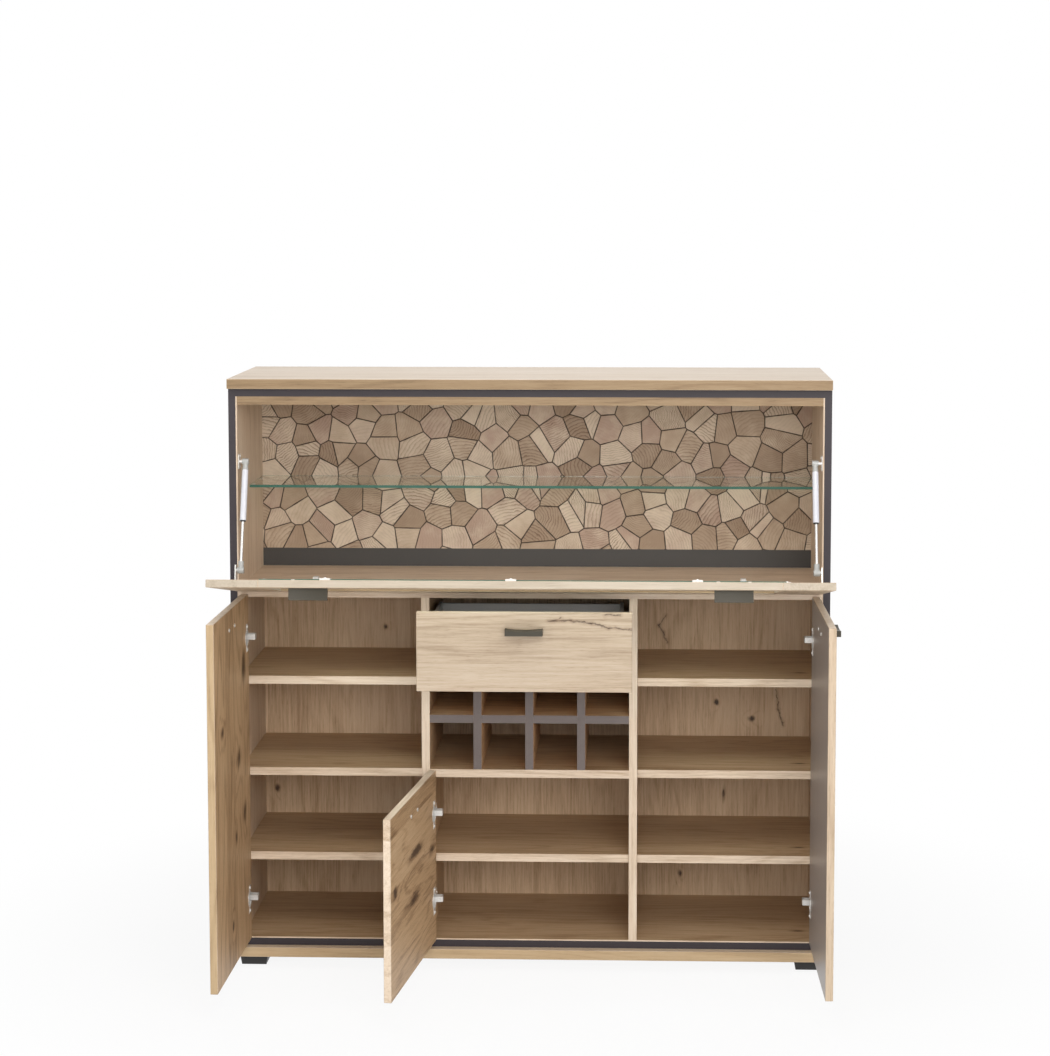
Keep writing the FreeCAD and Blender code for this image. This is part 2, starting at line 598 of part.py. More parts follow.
def make_flap():
    """The glazed flap, hinged along the middle panel."""
    pivots = [V(x, PIN_Y, FLAP_PIVOT_Z) for x in (-FLAP_HINGE_X, FLAP_HINGE_X)]
    cups, bores, arms = make_hinges(pivots, Z_AXIS, FLAP_PIVOT_Z - UPPER_FLOOR_Z)
    handle_x = (FRONT_EDGE_X + DOOR_MEETING_X) / 2
    pulls = [make_handle(x, FLAP_TOP_Z) for x in (-handle_x, handle_x)]
    handles = [pull[0] for pull in pulls]
    screws = pulls[0][1] + pulls[1][1]
    window_low = FLAP_BOTTOM_Z + RAIL_HEIGHT
    window_high = FLAP_TOP_Z - RAIL_HEIGHT
    right_stile = eased(board(WINDOW_X, FRONT_EDGE_X, FRONT_Y, FRONT_BACK_Y, FLAP_BOTTOM_Z, FLAP_TOP_Z))
    left_stile = eased(board(-FRONT_EDGE_X, -WINDOW_X, FRONT_Y, FRONT_BACK_Y, FLAP_BOTTOM_Z, FLAP_TOP_Z))
    lower_rail = board(-WINDOW_X, WINDOW_X, FRONT_Y, FRONT_BACK_Y, FLAP_BOTTOM_Z, window_low)
    upper_rail = board(-WINDOW_X, WINDOW_X, FRONT_Y, FRONT_BACK_Y, window_high, FLAP_TOP_Z)
    pane = board(
        -WINDOW_X - PANE_LAP, WINDOW_X + PANE_LAP, FRONT_BACK_Y, FRONT_BACK_Y + PANE_THICKNESS,
        window_low - PANE_LAP, window_high + PANE_LAP,
    )
    clips = []
    for x in (CLIP_SHIFT - CLIP_SPACING, CLIP_SHIFT, CLIP_SHIFT + CLIP_SPACING):
        clips.append(make_clip(x, window_high + PANE_LAP, "up"))
        clips.append(make_clip(x, window_low - PANE_LAP, "down"))
    middle_z = (window_low + window_high) / 2
    clips.append(make_clip(WINDOW_X + PANE_LAP, middle_z, "right"))
    clips.append(make_clip(-WINDOW_X - PANE_LAP, middle_z, "left"))
    brackets = [make_strut_bracket(side) for side in (-1, 1)]
    lower_rail = cut_all(eased(lower_rail), bores)
    upper_rail = cut_all(eased(upper_rail), screws)
    export("flap_stiles", flap_opened(left_stile), flap_opened(right_stile))
    export("flap_rails", flap_opened(lower_rail), flap_opened(upper_rail))
    export("flap_glass", flap_opened(pane))
    export("flap_glass_clips", *map(flap_opened, clips))
    export("flap_handles", *map(flap_opened, handles))
    export("flap_handle_screws", *map(flap_opened, screws))
    export("flap_hinge_cups", *map(flap_opened, cups))
    export("flap_strut_brackets", *map(flap_opened, brackets))
    export("flap_hinge_arms", *arms)


# Gas struts
STRUT_PIVOT = V(0, CARCASS_Y + STRUT_PIVOT_SETBACK, UPPER_FLOOR_Z + STRUT_PIVOT_RISE)
STUD_OPEN = FreeCAD.Placement(V(), FreeCAD.Rotation(X_AXIS, FLAP_OPEN_DEG), FLAP_PIVOT).multVec(STUD_CLOSED)
STRUT_VECTOR = STUD_OPEN - STRUT_PIVOT
STRUT_LEAN_DEG = math.degrees(math.atan2(-STRUT_VECTOR.y, -STRUT_VECTOR.z))


def strut_end(z, neck_towards):
    """A round end fitting across X at a height on the strut's axis, with its neck."""
    half = FITTING_WIDTH / 2
    barrel = Part.makeCylinder(FITTING_RADIUS, FITTING_WIDTH, V(-half, 0, z), X_AXIS)
    neck = Part.makeCylinder(FITTING_NECK_RADIUS, FITTING_NECK_LENGTH, V(0, 0, z), V(0, 0, neck_towards))
    return barrel.fuse(neck)


def make_struts():
    """Each strut hangs from a stud on the lining. Its axis is Z until it is leaned to the open flap."""
    length = STRUT_VECTOR.Length
    for name, side in (("left", -1), ("right", 1)):
        tube = Part.makeCylinder(
            STRUT_TUBE_RADIUS, STRUT_TUBE_END - STRUT_TUBE_START, V(0, 0, -STRUT_TUBE_END), Z_AXIS
        )
        bore = Part.makeCylinder(
            STRUT_ROD_RADIUS + STRUT_ROD_CLEARANCE, STRUT_TUBE_END - STRUT_BORE_START,
            V(0, 0, -STRUT_TUBE_END), Z_AXIS,
        )
        stud_hole = Part.makeCylinder(
            STUD_RADIUS + STUD_CLEARANCE, FITTING_WIDTH - BRACKET_SHEET,
            V(side * FITTING_WIDTH / 2, 0, 0), V(-side, 0, 0),
        )
        cylinder = strut_end(0, -1).fuse(tube).cut([bore, stud_hole])
        rod = Part.makeCylinder(STRUT_ROD_RADIUS, length - STRUT_ROD_IN_TUBE, V(0, 0, -length), Z_AXIS)
        rod = rod.fuse(strut_end(-length, 1))
        pivot = V(side * STRUT_X, STRUT_PIVOT.y, STRUT_PIVOT.z)
        for node, solid in ((f"{name}_strut_cylinder", cylinder), (f"{name}_strut_rod", rod)):
            leaned = solid.removeSplitter().rotated(V(), X_AXIS, -STRUT_LEAN_DEG)
            export(node, leaned.translated(pivot))
    make_strut_studs()


def make_strut_studs():
    """Plates on the side linings with the studs that the struts turn on."""
    plate = Part.makeBox(
        BRACKET_SHEET, BRACKET_WIDTH, BRACKET_SIZE,
        V(LINING_X - BRACKET_SHEET, STRUT_PIVOT.y - STUD_RADIUS, STRUT_PIVOT.z - BRACKET_SIZE / 2),
    )
    stud_end_x = STRUT_X - FITTING_WIDTH / 2 + BRACKET_SHEET + STUD_END_GAP
    stud = Part.makeCylinder(
        STUD_RADIUS, LINING_X - stud_end_x, V(stud_end_x, STRUT_PIVOT.y, STRUT_PIVOT.z), X_AXIS
    )
    right = plate.fuse(stud).removeSplitter()
    export("strut_side_brackets", right, right.mirror(V(), X_AXIS))


# Drawer
def drawer_opened(solid):
    """A piece of the closed drawer, pulled out."""
    return solid.translated(V(0, -DRAWER_OPEN, 0))


def make_drawer():
    """The drawer front on its box, and the channel runners that carry it."""
    handle, screws = make_handle(0, DOOR_TOP_Z)
    front = eased(
        board(-CENTRE_FRONT_X, CENTRE_FRONT_X, FRONT_Y, FRONT_BACK_Y, DRAWER_PANEL_MID_Z, DOOR_TOP_Z)
    )
    box_z = DRAWER_BAY_Z + DRAWER_BOX_LIFT
    box_top = box_z + DRAWER_BOX_HEIGHT
    box_back_y = FRONT_BACK_Y + DRAWER_BOX_DEPTH
    inner_x = DRAWER_BOX_X - DRAWER_WALL
    bottom_z = box_z + DRAWER_BOTTOM_RISE
    bottom_top = bottom_z + DRAWER_WALL
    back_y = box_back_y - DRAWER_WALL
    right_wall = board(inner_x, DRAWER_BOX_X, FRONT_BACK_Y, box_back_y, box_z, box_top)
    left_wall = board(-DRAWER_BOX_X, -inner_x, FRONT_BACK_Y, box_back_y, box_z, box_top)
    back = board(-inner_x, inner_x, back_y, box_back_y, bottom_z, box_top - DRAWER_BACK_DROP)
    bottom = board(-inner_x, inner_x, FRONT_BACK_Y, back_y, bottom_z, bottom_top)
    export("drawer_front", drawer_opened(cut_all(front, screws)))
    export("drawer_walls", *map(drawer_opened, (left_wall, right_wall, back)))
    export("drawer_bottom", drawer_opened(bottom))
    export("drawer_handle", drawer_opened(handle))
    export("drawer_handle_screws", *map(drawer_opened, screws))
    make_runners()


def make_runners():
    """Channel rails on the dividers and the slides inside them on the drawer's sides."""
    middle_z = DRAWER_BAY_Z + RUNNER_RISE
    half = RUNNER_HEIGHT / 2
    start_y = CARCASS_Y + RUNNER_SETBACK
    channel_x = DIVIDER_IN_X - RUNNER_DEPTH
    end_y = start_y + DRAWER_BOX_DEPTH
    groove = half - RUNNER_SHEET
    channel = board(channel_x, DIVIDER_IN_X, start_y, end_y, middle_z - half, middle_z + half)
    channel = channel.cut(
        board(channel_x, DIVIDER_IN_X - RUNNER_SHEET, start_y, end_y, middle_z - groove, middle_z + groove)
    )
    slide_half = groove - RUNNER_PLAY
    slide_out_x = DIVIDER_IN_X - RUNNER_SHEET - RUNNER_WEB_PLAY
    slide = board(
        DRAWER_BOX_X, slide_out_x, FRONT_BACK_Y, FRONT_BACK_Y + DRAWER_BOX_DEPTH,
        middle_z - slide_half, middle_z + slide_half,
    )
    export("drawer_rails", channel, channel.mirror(V(), X_AXIS))
    export("drawer_slides", drawer_opened(slide), drawer_opened(slide.mirror(V(), X_AXIS)))


os.makedirs("parts", exist_ok=True)
make_carcass_frame()
make_uprights(make_shelves())
make_rack()
make_feet()
make_doors()
make_flap()
make_struts()
make_drawer()
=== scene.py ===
# %% [markdown]
# # A bar highboard, opened up
# The cabinet's boards, hinges, struts and drawer come as a solid model in metres, with the front at -Y
# and the floor at Z = 0. They could be modelled again here, but then two models would have to be kept
# alike. So nothing of the solid model is moved or changed: this script puts a finish on each part, ties
# small fittings to the parts that carry them, and sets up a plain studio round it all.

# %% Load the solid model
import json
import math

import bmesh
import bpy
from mathutils import Color, Matrix, Vector


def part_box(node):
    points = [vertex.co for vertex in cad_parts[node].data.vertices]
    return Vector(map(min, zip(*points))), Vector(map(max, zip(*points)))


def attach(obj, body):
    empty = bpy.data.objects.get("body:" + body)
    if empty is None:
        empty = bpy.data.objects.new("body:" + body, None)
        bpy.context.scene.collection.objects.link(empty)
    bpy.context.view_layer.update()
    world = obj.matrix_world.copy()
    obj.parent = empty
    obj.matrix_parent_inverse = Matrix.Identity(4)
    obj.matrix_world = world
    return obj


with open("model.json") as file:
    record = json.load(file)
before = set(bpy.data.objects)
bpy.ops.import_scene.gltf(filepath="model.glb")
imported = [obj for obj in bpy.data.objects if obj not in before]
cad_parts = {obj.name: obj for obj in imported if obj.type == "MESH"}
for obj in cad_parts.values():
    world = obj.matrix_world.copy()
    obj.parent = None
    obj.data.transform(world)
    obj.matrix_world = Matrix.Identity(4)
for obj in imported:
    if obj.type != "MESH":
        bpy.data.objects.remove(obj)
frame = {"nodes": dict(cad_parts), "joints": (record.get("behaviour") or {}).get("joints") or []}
cad_nodes = frame["nodes"]
joints = {joint["name"]: joint for joint in frame["joints"]}
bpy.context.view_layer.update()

# %% [markdown]
# ## Camera
# The cabinet is seen from a little right of its middle and from just above its top, from far away, so
# that its verticals stay nearly parallel. A wide lens close by would splay the open doors. So a long lens
# is used, and a small shift of it sets the cabinet low in the picture with less tilt than aiming takes.

# %% Camera
CAMERA_PLACE = (0.2536, -5.7295, 1.7237)
CAMERA_PAN = 0.03475
CAMERA_TILT = 0.09218
LENS_MM = 86.23
SENSOR_MM = 36.0
LENS_SHIFT = (-0.03, -0.09)

scene = bpy.context.scene
camera_data = bpy.data.cameras.new("front_camera")
camera_data.sensor_fit = "AUTO"
camera_data.sensor_width = SENSOR_MM
camera_data.lens = LENS_MM
camera_data.shift_x, camera_data.shift_y = LENS_SHIFT
camera = bpy.data.objects.new("front_camera", camera_data)
camera.location = CAMERA_PLACE
camera.rotation_euler = (math.pi / 2 - CAMERA_TILT, 0, CAMERA_PAN)
scene.collection.objects.link(camera)
scene.camera = camera
scene.view_settings.view_transform = "Standard"
print("camera at", CAMERA_PLACE, "with a lens of", LENS_MM, "mm")

# %% [markdown]
# ## Shader helpers
# Every finish is a small tree of nodes. The trees could be drawn by hand in the shader editor, but as
# code one tree serves many boards. The helpers keep that code short: one fills or links inputs, one adds
# a node, and the others stand for the nodes that are used most. Colours are written as they look on a
# screen, from 0 to 255, and turned into linear light here.

# %% Colours as they look
SCREEN_WHITE = 255


def seen(red, green, blue):
    """A colour as it looks on a screen, in the linear light that shaders use."""
    screen = Color([value / SCREEN_WHITE for value in (red, green, blue)])
    return (*screen.from_srgb_to_scene_linear(), 1.0)


def shades(*tones):
    """Several colours as they look, from dark to light."""
    return tuple(seen(*tone) for tone in tones)


def grey(value):
    """A grey of this linear value."""
    return (value, value, value, 1.0)


print("screen levels:", SCREEN_WHITE + 1)


# %% Nodes
def fill(tree, node, inputs):
    """Inputs of a node, each filled with a value or linked to a socket."""
    for name, value in inputs.items():
        if isinstance(value, bpy.types.NodeSocket):
            tree.links.new(value, node.inputs[name])
        else:
            node.inputs[name].default_value = value


def add_node(tree, kind, inputs=None, **settings):
    """A node with its settings and inputs."""
    node = tree.nodes.new(kind)
    for name, value in settings.items():
        setattr(node, name, value)
    fill(tree, node, inputs or {})
    return node


def sums(tree, operation, first, second=0.0, third=0.0, clamp=False):
    """The result of one sum on numbers or sockets."""
    inputs = {0: first, 1: second, 2: third}
    return add_node(tree, "ShaderNodeMath", inputs, operation=operation, use_clamp=clamp).outputs[0]


def vector_sums(tree, operation, first, second, result="Vector"):
    """What one sum on two vectors gives."""
    inputs = {0: first, 1: second}
    return add_node(tree, "ShaderNodeVectorMath", inputs, operation=operation).outputs[result]


def vector_value(tree, operation, first, second=(0, 0, 0)):
    """The number that one sum on vectors gives, such as a length or a distance."""
    return vector_sums(tree, operation, first, second, "Value")


def parts_of(tree, vector):
    """The three numbers of a vector."""
    return add_node(tree, "ShaderNodeSeparateXYZ", {0: vector}).outputs


def joined(tree, x=0.0, y=0.0, z=0.0):
    """A vector of three numbers or sockets."""
    return add_node(tree, "ShaderNodeCombineXYZ", {0: x, 1: y, 2: z}).outputs[0]


def object_place(tree):
    """Where a point lies on its object, in metres."""
    return add_node(tree, "ShaderNodeTexCoord").outputs["Object"]


print("node helpers ready")

# %% Patterns and colours
MIX_FIRST = 6
MIX_SECOND = 7
MIX_RESULT = 2


def ramp(tree, factor, *stops):
    """Colours or greys along a grey pattern: each stop is a place and a colour."""
    node = add_node(tree, "ShaderNodeValToRGB", {"Fac": factor})
    elements = node.color_ramp.elements
    while len(elements) < len(stops):
        elements.new(1.0)
    for element, (place, colour) in zip(elements, stops):
        element.position = place
        element.color = colour if isinstance(colour, tuple) else grey(colour)
    return node.outputs["Color"]


def blend(tree, factor, first, second):
    """Two colours mixed by a grey pattern."""
    inputs = {0: factor, MIX_FIRST: first, MIX_SECOND: second}
    return add_node(tree, "ShaderNodeMix", inputs, data_type="RGBA").outputs[MIX_RESULT]


def noise(tree, vector, scale, detail=2.0, roughness=0.5, distortion=0.0):
    """A soft random pattern."""
    inputs = {
        "Vector": vector, "Scale": scale, "Detail": detail,
        "Roughness": roughness, "Distortion": distortion,
    }
    return add_node(tree, "ShaderNodeTexNoise", inputs).outputs["Fac"]


print("pattern helpers ready")


# %% Finishes
def new_finish(name):
    """An empty material with its shader, ready for a pattern."""
    material = bpy.data.materials.new(name)
    material.use_nodes = True
    tree = material.node_tree
    return material, tree, tree.nodes["Principled BSDF"]


def add_relief(tree, shader, height, strength, depth):
    """A fine relief that catches the light."""
    bump = add_node(tree, "ShaderNodeBump", {"Height": height, "Strength": strength, "Distance": depth})
    fill(tree, shader, {"Normal": bump.outputs[0]})


def give(material, *names):
    """A finish on every slot of these parts of the solid model."""
    for name in names:
        mesh = cad_nodes[name].data
        if not mesh.materials:
            mesh.materials.append(material)
        for index in range(len(mesh.materials)):
            mesh.materials[index] = material


print("parts to finish:", len(cad_nodes))

# %% [markdown]
# ## Studio
# The photograph has plain white round the cabinet. Strong light on a white floor would give that too,
# but it would bleach the boards. So the world and the floor are white only where the camera, a mirror or
# glass looks at them, and the world is a softer grey where it lights the boards. The floor keeps some
# shadow close to the feet and fades to white by its distance from the cabinet.

# %% White world
AMBIENT = 0.18
WHITE = (1, 1, 1, 1)


def looked_at(tree):
    """One where a ray comes from the camera, from gloss or through glass."""
    path = add_node(tree, "ShaderNodeLightPath").outputs
    direct = sums(tree, "MAXIMUM", path["Is Camera Ray"], path["Is Glossy Ray"])
    return sums(tree, "MAXIMUM", direct, path["Is Transmission Ray"])


def mixed_shader(tree, factor, first, second, output):
    """Two shaders mixed by a factor, linked to the output of the tree."""
    inputs = {0: factor, 1: first.outputs[0], 2: second.outputs[0]}
    mixed = add_node(tree, "ShaderNodeMixShader", inputs)
    fill(tree, tree.nodes[output], {"Surface": mixed.outputs[0]})


world = bpy.data.worlds.new("white_studio")
world.use_nodes = True
scene.world = world
sky = world.node_tree
lighting = add_node(sky, "ShaderNodeBackground", {"Color": WHITE, "Strength": AMBIENT})
backdrop = add_node(sky, "ShaderNodeBackground", {"Color": WHITE, "Strength": 1.0})
mixed_shader(sky, looked_at(sky), lighting, backdrop, "World Output")
print("world lights at", AMBIENT, "and looks white")

# %% Floor sheet
FLOOR_HALF = 30.0
FLOOR_DROP = 0.0005

shape = bmesh.new()
bmesh.ops.create_grid(shape, x_segments=1, y_segments=1, size=FLOOR_HALF)
bmesh.ops.translate(shape, verts=shape.verts, vec=(0, 0, -FLOOR_DROP))
floor_mesh = bpy.data.meshes.new("studio_floor")
shape.to_mesh(floor_mesh)
shape.free()
floor = bpy.data.objects.new("studio_floor", floor_mesh)
scene.collection.objects.link(floor)
print("floor", 2 * FLOOR_HALF, "m wide")

# %% Floor paint
FLOOR_GREY = 0.9
FLOOR_ROUGHNESS = 0.9
SHADOW_NEAR = 0.8
SHADOW_FAR = 1.6
SHADOW_SOFTENING = 0.9

floor_paint, tree, shader = new_finish("studio_floor_paint")
paint = {"Base Color": grey(FLOOR_GREY), "Roughness": FLOOR_ROUGHNESS, "Specular IOR Level": 0.0}
fill(tree, shader, paint)
fade_inputs = {
    "Value": vector_value(tree, "LENGTH", object_place(tree)),
    "From Min": SHADOW_NEAR, "From Max": SHADOW_FAR, "To Min": SHADOW_SOFTENING, "To Max": 1.0,
}
fade = add_node(tree, "ShaderNodeMapRange", fade_inputs, interpolation_type="SMOOTHSTEP").outputs[0]
glow = add_node(tree, "ShaderNodeEmission", {"Color": WHITE, "Strength": 1.0})
whiten = sums(tree, "MULTIPLY", fade, looked_at(tree))
mixed_shader(tree, whiten, shader, glow, "Material Output")
floor_mesh.materials.append(floor_paint)
print("the floor's shadow fades from", SHADOW_NEAR, "to", SHADOW_FAR, "m")

# %% [markdown]
# ## Lamps
# The light is soft, and the bays grow darker towards their back walls. One large lamp could light the
# fronts, but the open flap and doors would leave the bays dark. So the light is built up: the front and
# key lamps reach into the bays, the high lamp shines through the flap's glass onto the drawer, and the
# shelf lamp past the flap's front edge onto the lower shelves. The others fill in the top, the sides, the
# undersides and the rear, where the lamp hangs low so that the top plate doesn't mirror it.

# %% Lamps
# Name, place, target, width, height and watts
LAMPS = (
    ("front_softbox", (0.3, -5.2, 2.05), (0, 0, 0.75), 2.4, 1.6, 67.0),
    ("key_softbox", (1.9, -4.6, 1.9), (0, 0, 0.5), 1.4, 1.4, 35.0),
    ("high_softbox", (-0.3, -2.2, 3.5), (0, -0.1, 0.6), 2.4, 1.2, 33.0),
    ("shelf_softbox", (0.9, -3.2, 3.2), (0, -0.1, 0.5), 2.0, 1.2, 22.0),
    ("top_softbox", (0.0, 0.2, 3.6), (0, 0.0, 0.7), 2.6, 1.6, 31.0),
    ("right_softbox", (3.4, -2.6, 1.7), (0, 0, 0.7), 1.8, 2.0, 22.0),
    ("left_softbox", (-3.4, -2.6, 1.7), (0, 0, 0.7), 1.8, 2.0, 31.0),
    ("low_softbox", (0.0, -3.6, 0.35), (0, 0, 0.95), 3.2, 0.5, 7.0),
    ("rear_softbox", (0.4, 4.6, 0.75), (0, 0, 0.7), 2.8, 0.9, 45.0),
)
for name, place, target, width, height, watts in LAMPS:
    lamp_data = bpy.data.lights.new(name, "AREA")
    lamp_data.shape = "RECTANGLE"
    lamp_data.size = width
    lamp_data.size_y = height
    lamp_data.energy = watts
    lamp = bpy.data.objects.new(name, lamp_data)
    lamp.location = place
    lamp.rotation_euler = (Vector(target) - Vector(place)).to_track_quat("-Z", "Y").to_euler()
    scene.collection.objects.link(lamp)
print("lamps:", [row[0] for row in LAMPS])

# %% [markdown]
# ## Where a board's grain lies
# On the real cabinet each board's grain runs along one of its sides, and turns with the doors and the
# flap. The pattern could be laid on with a UV map, but the solid model has none. So it is worked out from
# the place of a point, turned back to where the part lies when it is shut. A board is drawn as planks
# side by side, and each plank shows its own piece of the pattern.

# %% Place and facing
FRONT, BACK = (0, -1, 0), (0, 1, 0)
LEFT, RIGHT = (-1, 0, 0), (1, 0, 0)
UP, DOWN = (0, 0, 1), (0, 0, -1)
FACING_LIMIT = 0.9


def shut_turn(joint_name):
    """The turn that shuts a hinged part, from the way it stands open."""
    joint = joints[joint_name]
    return Matrix.Rotation(math.radians(joint["range_deg"][0]), 4, Vector(joint["axis"]))


def shut_place(tree, joint_name):
    """Coordinates of a hinged part as it lies when it is shut, so that its grain runs true."""
    place = object_place(tree)
    if joint_name is None:
        return place
    turn = shut_turn(joint_name)
    pivot = Vector(joints[joint_name]["pos_m"])
    inputs = {"Vector": place, "Location": pivot - turn @ pivot, "Rotation": turn.to_euler()}
    return add_node(tree, "ShaderNodeMapping", inputs, vector_type="POINT").outputs[0]


def facing(tree, joint_name, direction):
    """One where a surface of the shut part faces this way, and zero elsewhere."""
    normal = add_node(tree, "ShaderNodeTexCoord").outputs["Normal"]
    way = Vector(direction)
    if joint_name is not None:
        way = shut_turn(joint_name).inverted().to_3x3() @ way
    return sums(tree, "GREATER_THAN", vector_value(tree, "DOT_PRODUCT", normal, way), FACING_LIMIT)


print("joints:", list(joints))

# %% Planks
PLANK_SHIFT = 7.0


def grain_place(tree, place, along, across, plank_width, seed):
    """Coordinates in a plank's own pattern, coordinates on the whole board, and the plank's chance."""
    parts = parts_of(tree, place)
    through = next(axis for axis in "XYZ" if axis not in (along, across))
    run, side, depth = parts[along], parts[across], parts[through]
    plank = sums(tree, "FLOOR", sums(tree, "DIVIDE", sums(tree, "ADD", side, seed), plank_width))
    chance = add_node(tree, "ShaderNodeTexWhiteNoise", {"W": plank}, noise_dimensions="1D").outputs["Value"]
    moved = sums(tree, "MULTIPLY_ADD", chance, PLANK_SHIFT, sums(tree, "ADD", run, seed))
    return joined(tree, moved, side, depth), joined(tree, run, side), chance


def stretched(tree, grain, along, across, detail, roughness, distortion=0.0):
    """A noise with this many waves per metre along and across the grain."""
    scaled = vector_sums(tree, "MULTIPLY", grain, (along, across, across))
    return noise(tree, scaled, 1.0, detail, roughness, distortion)


print("planks are moved by up to", PLANK_SHIFT, "m")

# %% [markdown]
# ## Knots and cracks
# Wild oak has dark knots in a brown halo, and cracks. They could be left to chance, but a few clear ones
# in chosen places look more like a real board. So each has its place, in metres along and across the
# grain of the shut part. A knot is the distance to its middle over its half sizes, made ragged by a
# noise, and a crack is the distance to short lines, bent by another. A third noise breaks up their dark
# middles, as bark does.

# %% Knots
# A noise is waves per metre along and across the grain, detail, roughness and any distortion
KNOT_HEART = seen(58, 38, 24)
KNOT_RING = seen(116, 84, 56)
RIM_NOISE = (14.0, 60.0, 3.0, 0.6)
RIM_RAGGED = 1.5
BARK_NOISE = (70.0, 260.0, 4.0, 0.7)
HALO_STOPS = ((0.45, 0.62), (1.0, 0.0))
HEART_STOPS = ((0.2, 0.9), (0.65, 0.0))
HEART_BARK = 1.3


def knot_rims(tree, flat, knots):
    """How far a point is from each knot, where a knot's ragged rim is at one."""
    ragged = stretched(tree, flat, *RIM_NOISE)
    ragged = sums(tree, "MULTIPLY_ADD", ragged, RIM_RAGGED, -RIM_RAGGED / 2)
    rims = []
    for centre, (half_length, half_width) in knots:
        away = vector_sums(tree, "SUBTRACT", flat, (*centre, 0.0))
        scaled = vector_sums(tree, "MULTIPLY", away, (1 / half_length, 1 / half_width, 0.0))
        rims.append(sums(tree, "ADD", vector_value(tree, "LENGTH", scaled), ragged))
    return rims


def with_knots(tree, colour, rims, bark, shown):
    """A board's colour with its knots: a brown halo, and a dark heart that is broken up like bark."""
    for rim in rims:
        halo = sums(tree, "MULTIPLY", ramp(tree, rim, *HALO_STOPS), shown)
        colour = blend(tree, halo, colour, KNOT_RING)
        heart = sums(tree, "SUBTRACT", rim, HEART_BARK / 2)
        heart = ramp(tree, sums(tree, "MULTIPLY_ADD", bark, HEART_BARK, heart), *HEART_STOPS)
        colour = blend(tree, sums(tree, "MULTIPLY", heart, shown), colour, KNOT_HEART)
    return colour


print("knots are ragged by up to", RIM_RAGGED / 2, "of their size")

# %% Cracks
BEND_NOISE = (60.0, 60.0, 3.0, 0.6)
CRACK_BEND = 0.012
CRACK_HALO = 0.008
CRACK_HALO_STOPS = ((0.0, 0.3), (1.0, 0.0))
CRACK_STOPS = ((0.0, 0.8), (0.4, 0.0))
CRACK_REACH = 4
CRACK_BARK = 1.6
CRACK_OPENING = 0.75


def crack_distance(tree, flat, start, end):
    """How far a point is from a straight piece of a crack, in metres."""
    run = Vector((end[0] - start[0], end[1] - start[1], 0.0))
    away = vector_sums(tree, "SUBTRACT", flat, (*start, 0.0))
    share = vector_value(tree, "DOT_PRODUCT", away, run / run.length_squared)
    share = sums(tree, "MULTIPLY", share, 1.0, clamp=True)
    foot = add_node(tree, "ShaderNodeVectorMath", {0: run, "Scale": share}, operation="SCALE").outputs[0]
    return vector_value(tree, "LENGTH", vector_sums(tree, "SUBTRACT", away, foot))


def with_cracks(tree, colour, flat, cracks, bark, shown):
    """A board's colour with its cracks, which are bent a little and broken up like bark."""
    bend = sums(tree, "MULTIPLY_ADD", stretched(tree, flat, *BEND_NOISE), CRACK_BEND, -CRACK_BEND / 2)
    bent = vector_sums(tree, "ADD", flat, joined(tree, y=bend))
    for start, end, half_width in cracks:
        gap = crack_distance(tree, bent, start, end)
        halo = ramp(tree, sums(tree, "DIVIDE", gap, CRACK_HALO), *CRACK_HALO_STOPS)
        colour = blend(tree, sums(tree, "MULTIPLY", halo, shown), colour, KNOT_RING)
        gap = sums(tree, "DIVIDE", gap, CRACK_REACH * half_width)
        gap = sums(tree, "MULTIPLY_ADD", bark, CRACK_BARK, sums(tree, "SUBTRACT", gap, CRACK_OPENING))
        opening = sums(tree, "MULTIPLY", ramp(tree, gap, *CRACK_STOPS), shown)
        colour = blend(tree, opening, colour, KNOT_HEART)
    return colour


print("cracks have a halo of", round(1000 * CRACK_HALO), "mm")

# %% Knots and cracks of each board
# Middle and half sizes of a knot; start, end and half width of a piece of a crack
LEFT_DOOR_KNOTS = (
    ((0.705, -0.575), (0.055, 0.030)),
    ((0.510, -0.505), (0.030, 0.038)),
    ((0.375, -0.575), (0.040, 0.028)),
    ((0.605, -0.320), (0.020, 0.026)),
    ((0.345, -0.468), (0.020, 0.018)),
    ((0.160, -0.420), (0.016, 0.014)),
)
RIGHT_DOOR_KNOTS = (
    ((0.655, 0.345), (0.034, 0.020)),
    ((0.470, 0.560), (0.024, 0.015)),
    ((0.265, 0.390), (0.030, 0.018)),
    ((0.190, 0.575), (0.018, 0.012)),
)
CENTRE_DOOR_KNOTS = (
    ((-0.008, 0.327), (0.105, 0.018)),
    ((0.012, 0.228), (0.100, 0.020)),
    ((0.187, 0.291), (0.034, 0.018)),
    ((-0.185, 0.290), (0.045, 0.018)),
)
BACK_KNOTS = (
    ((0.538, 0.426), (0.009, 0.008)),
    ((0.499, 0.510), (0.009, 0.013)),
    ((0.317, 0.445), (0.028, 0.007)),
    ((0.124, 0.343), (0.012, 0.007)),
    ((0.714, -0.357), (0.009, 0.008)),
    ((0.323, -0.620), (0.013, 0.008)),
)
BACK_CRACKS = (
    ((0.745, 0.306), (0.721, 0.289), 0.0013),
    ((0.721, 0.289), (0.704, 0.300), 0.0020),
    ((0.704, 0.300), (0.680, 0.310), 0.0020),
    ((0.569, 0.567), (0.520, 0.573), 0.0013),
    ((0.520, 0.573), (0.483, 0.584), 0.0020),
)
SHELF_KNOTS = (((0.607, -0.105), (0.030, 0.010)),)
DRAWER_CRACKS = (
    ((0.051, 0.833), (0.100, 0.834), 0.0018),
    ((0.100, 0.834), (0.143, 0.828), 0.0025),
    ((0.143, 0.828), (0.180, 0.820), 0.0023),
    ((0.180, 0.820), (0.228, 0.815), 0.0016),
    ((0.058, 0.833), (0.078, 0.839), 0.0011),
    ((0.172, 0.847), (0.204, 0.846), 0.0016),
)
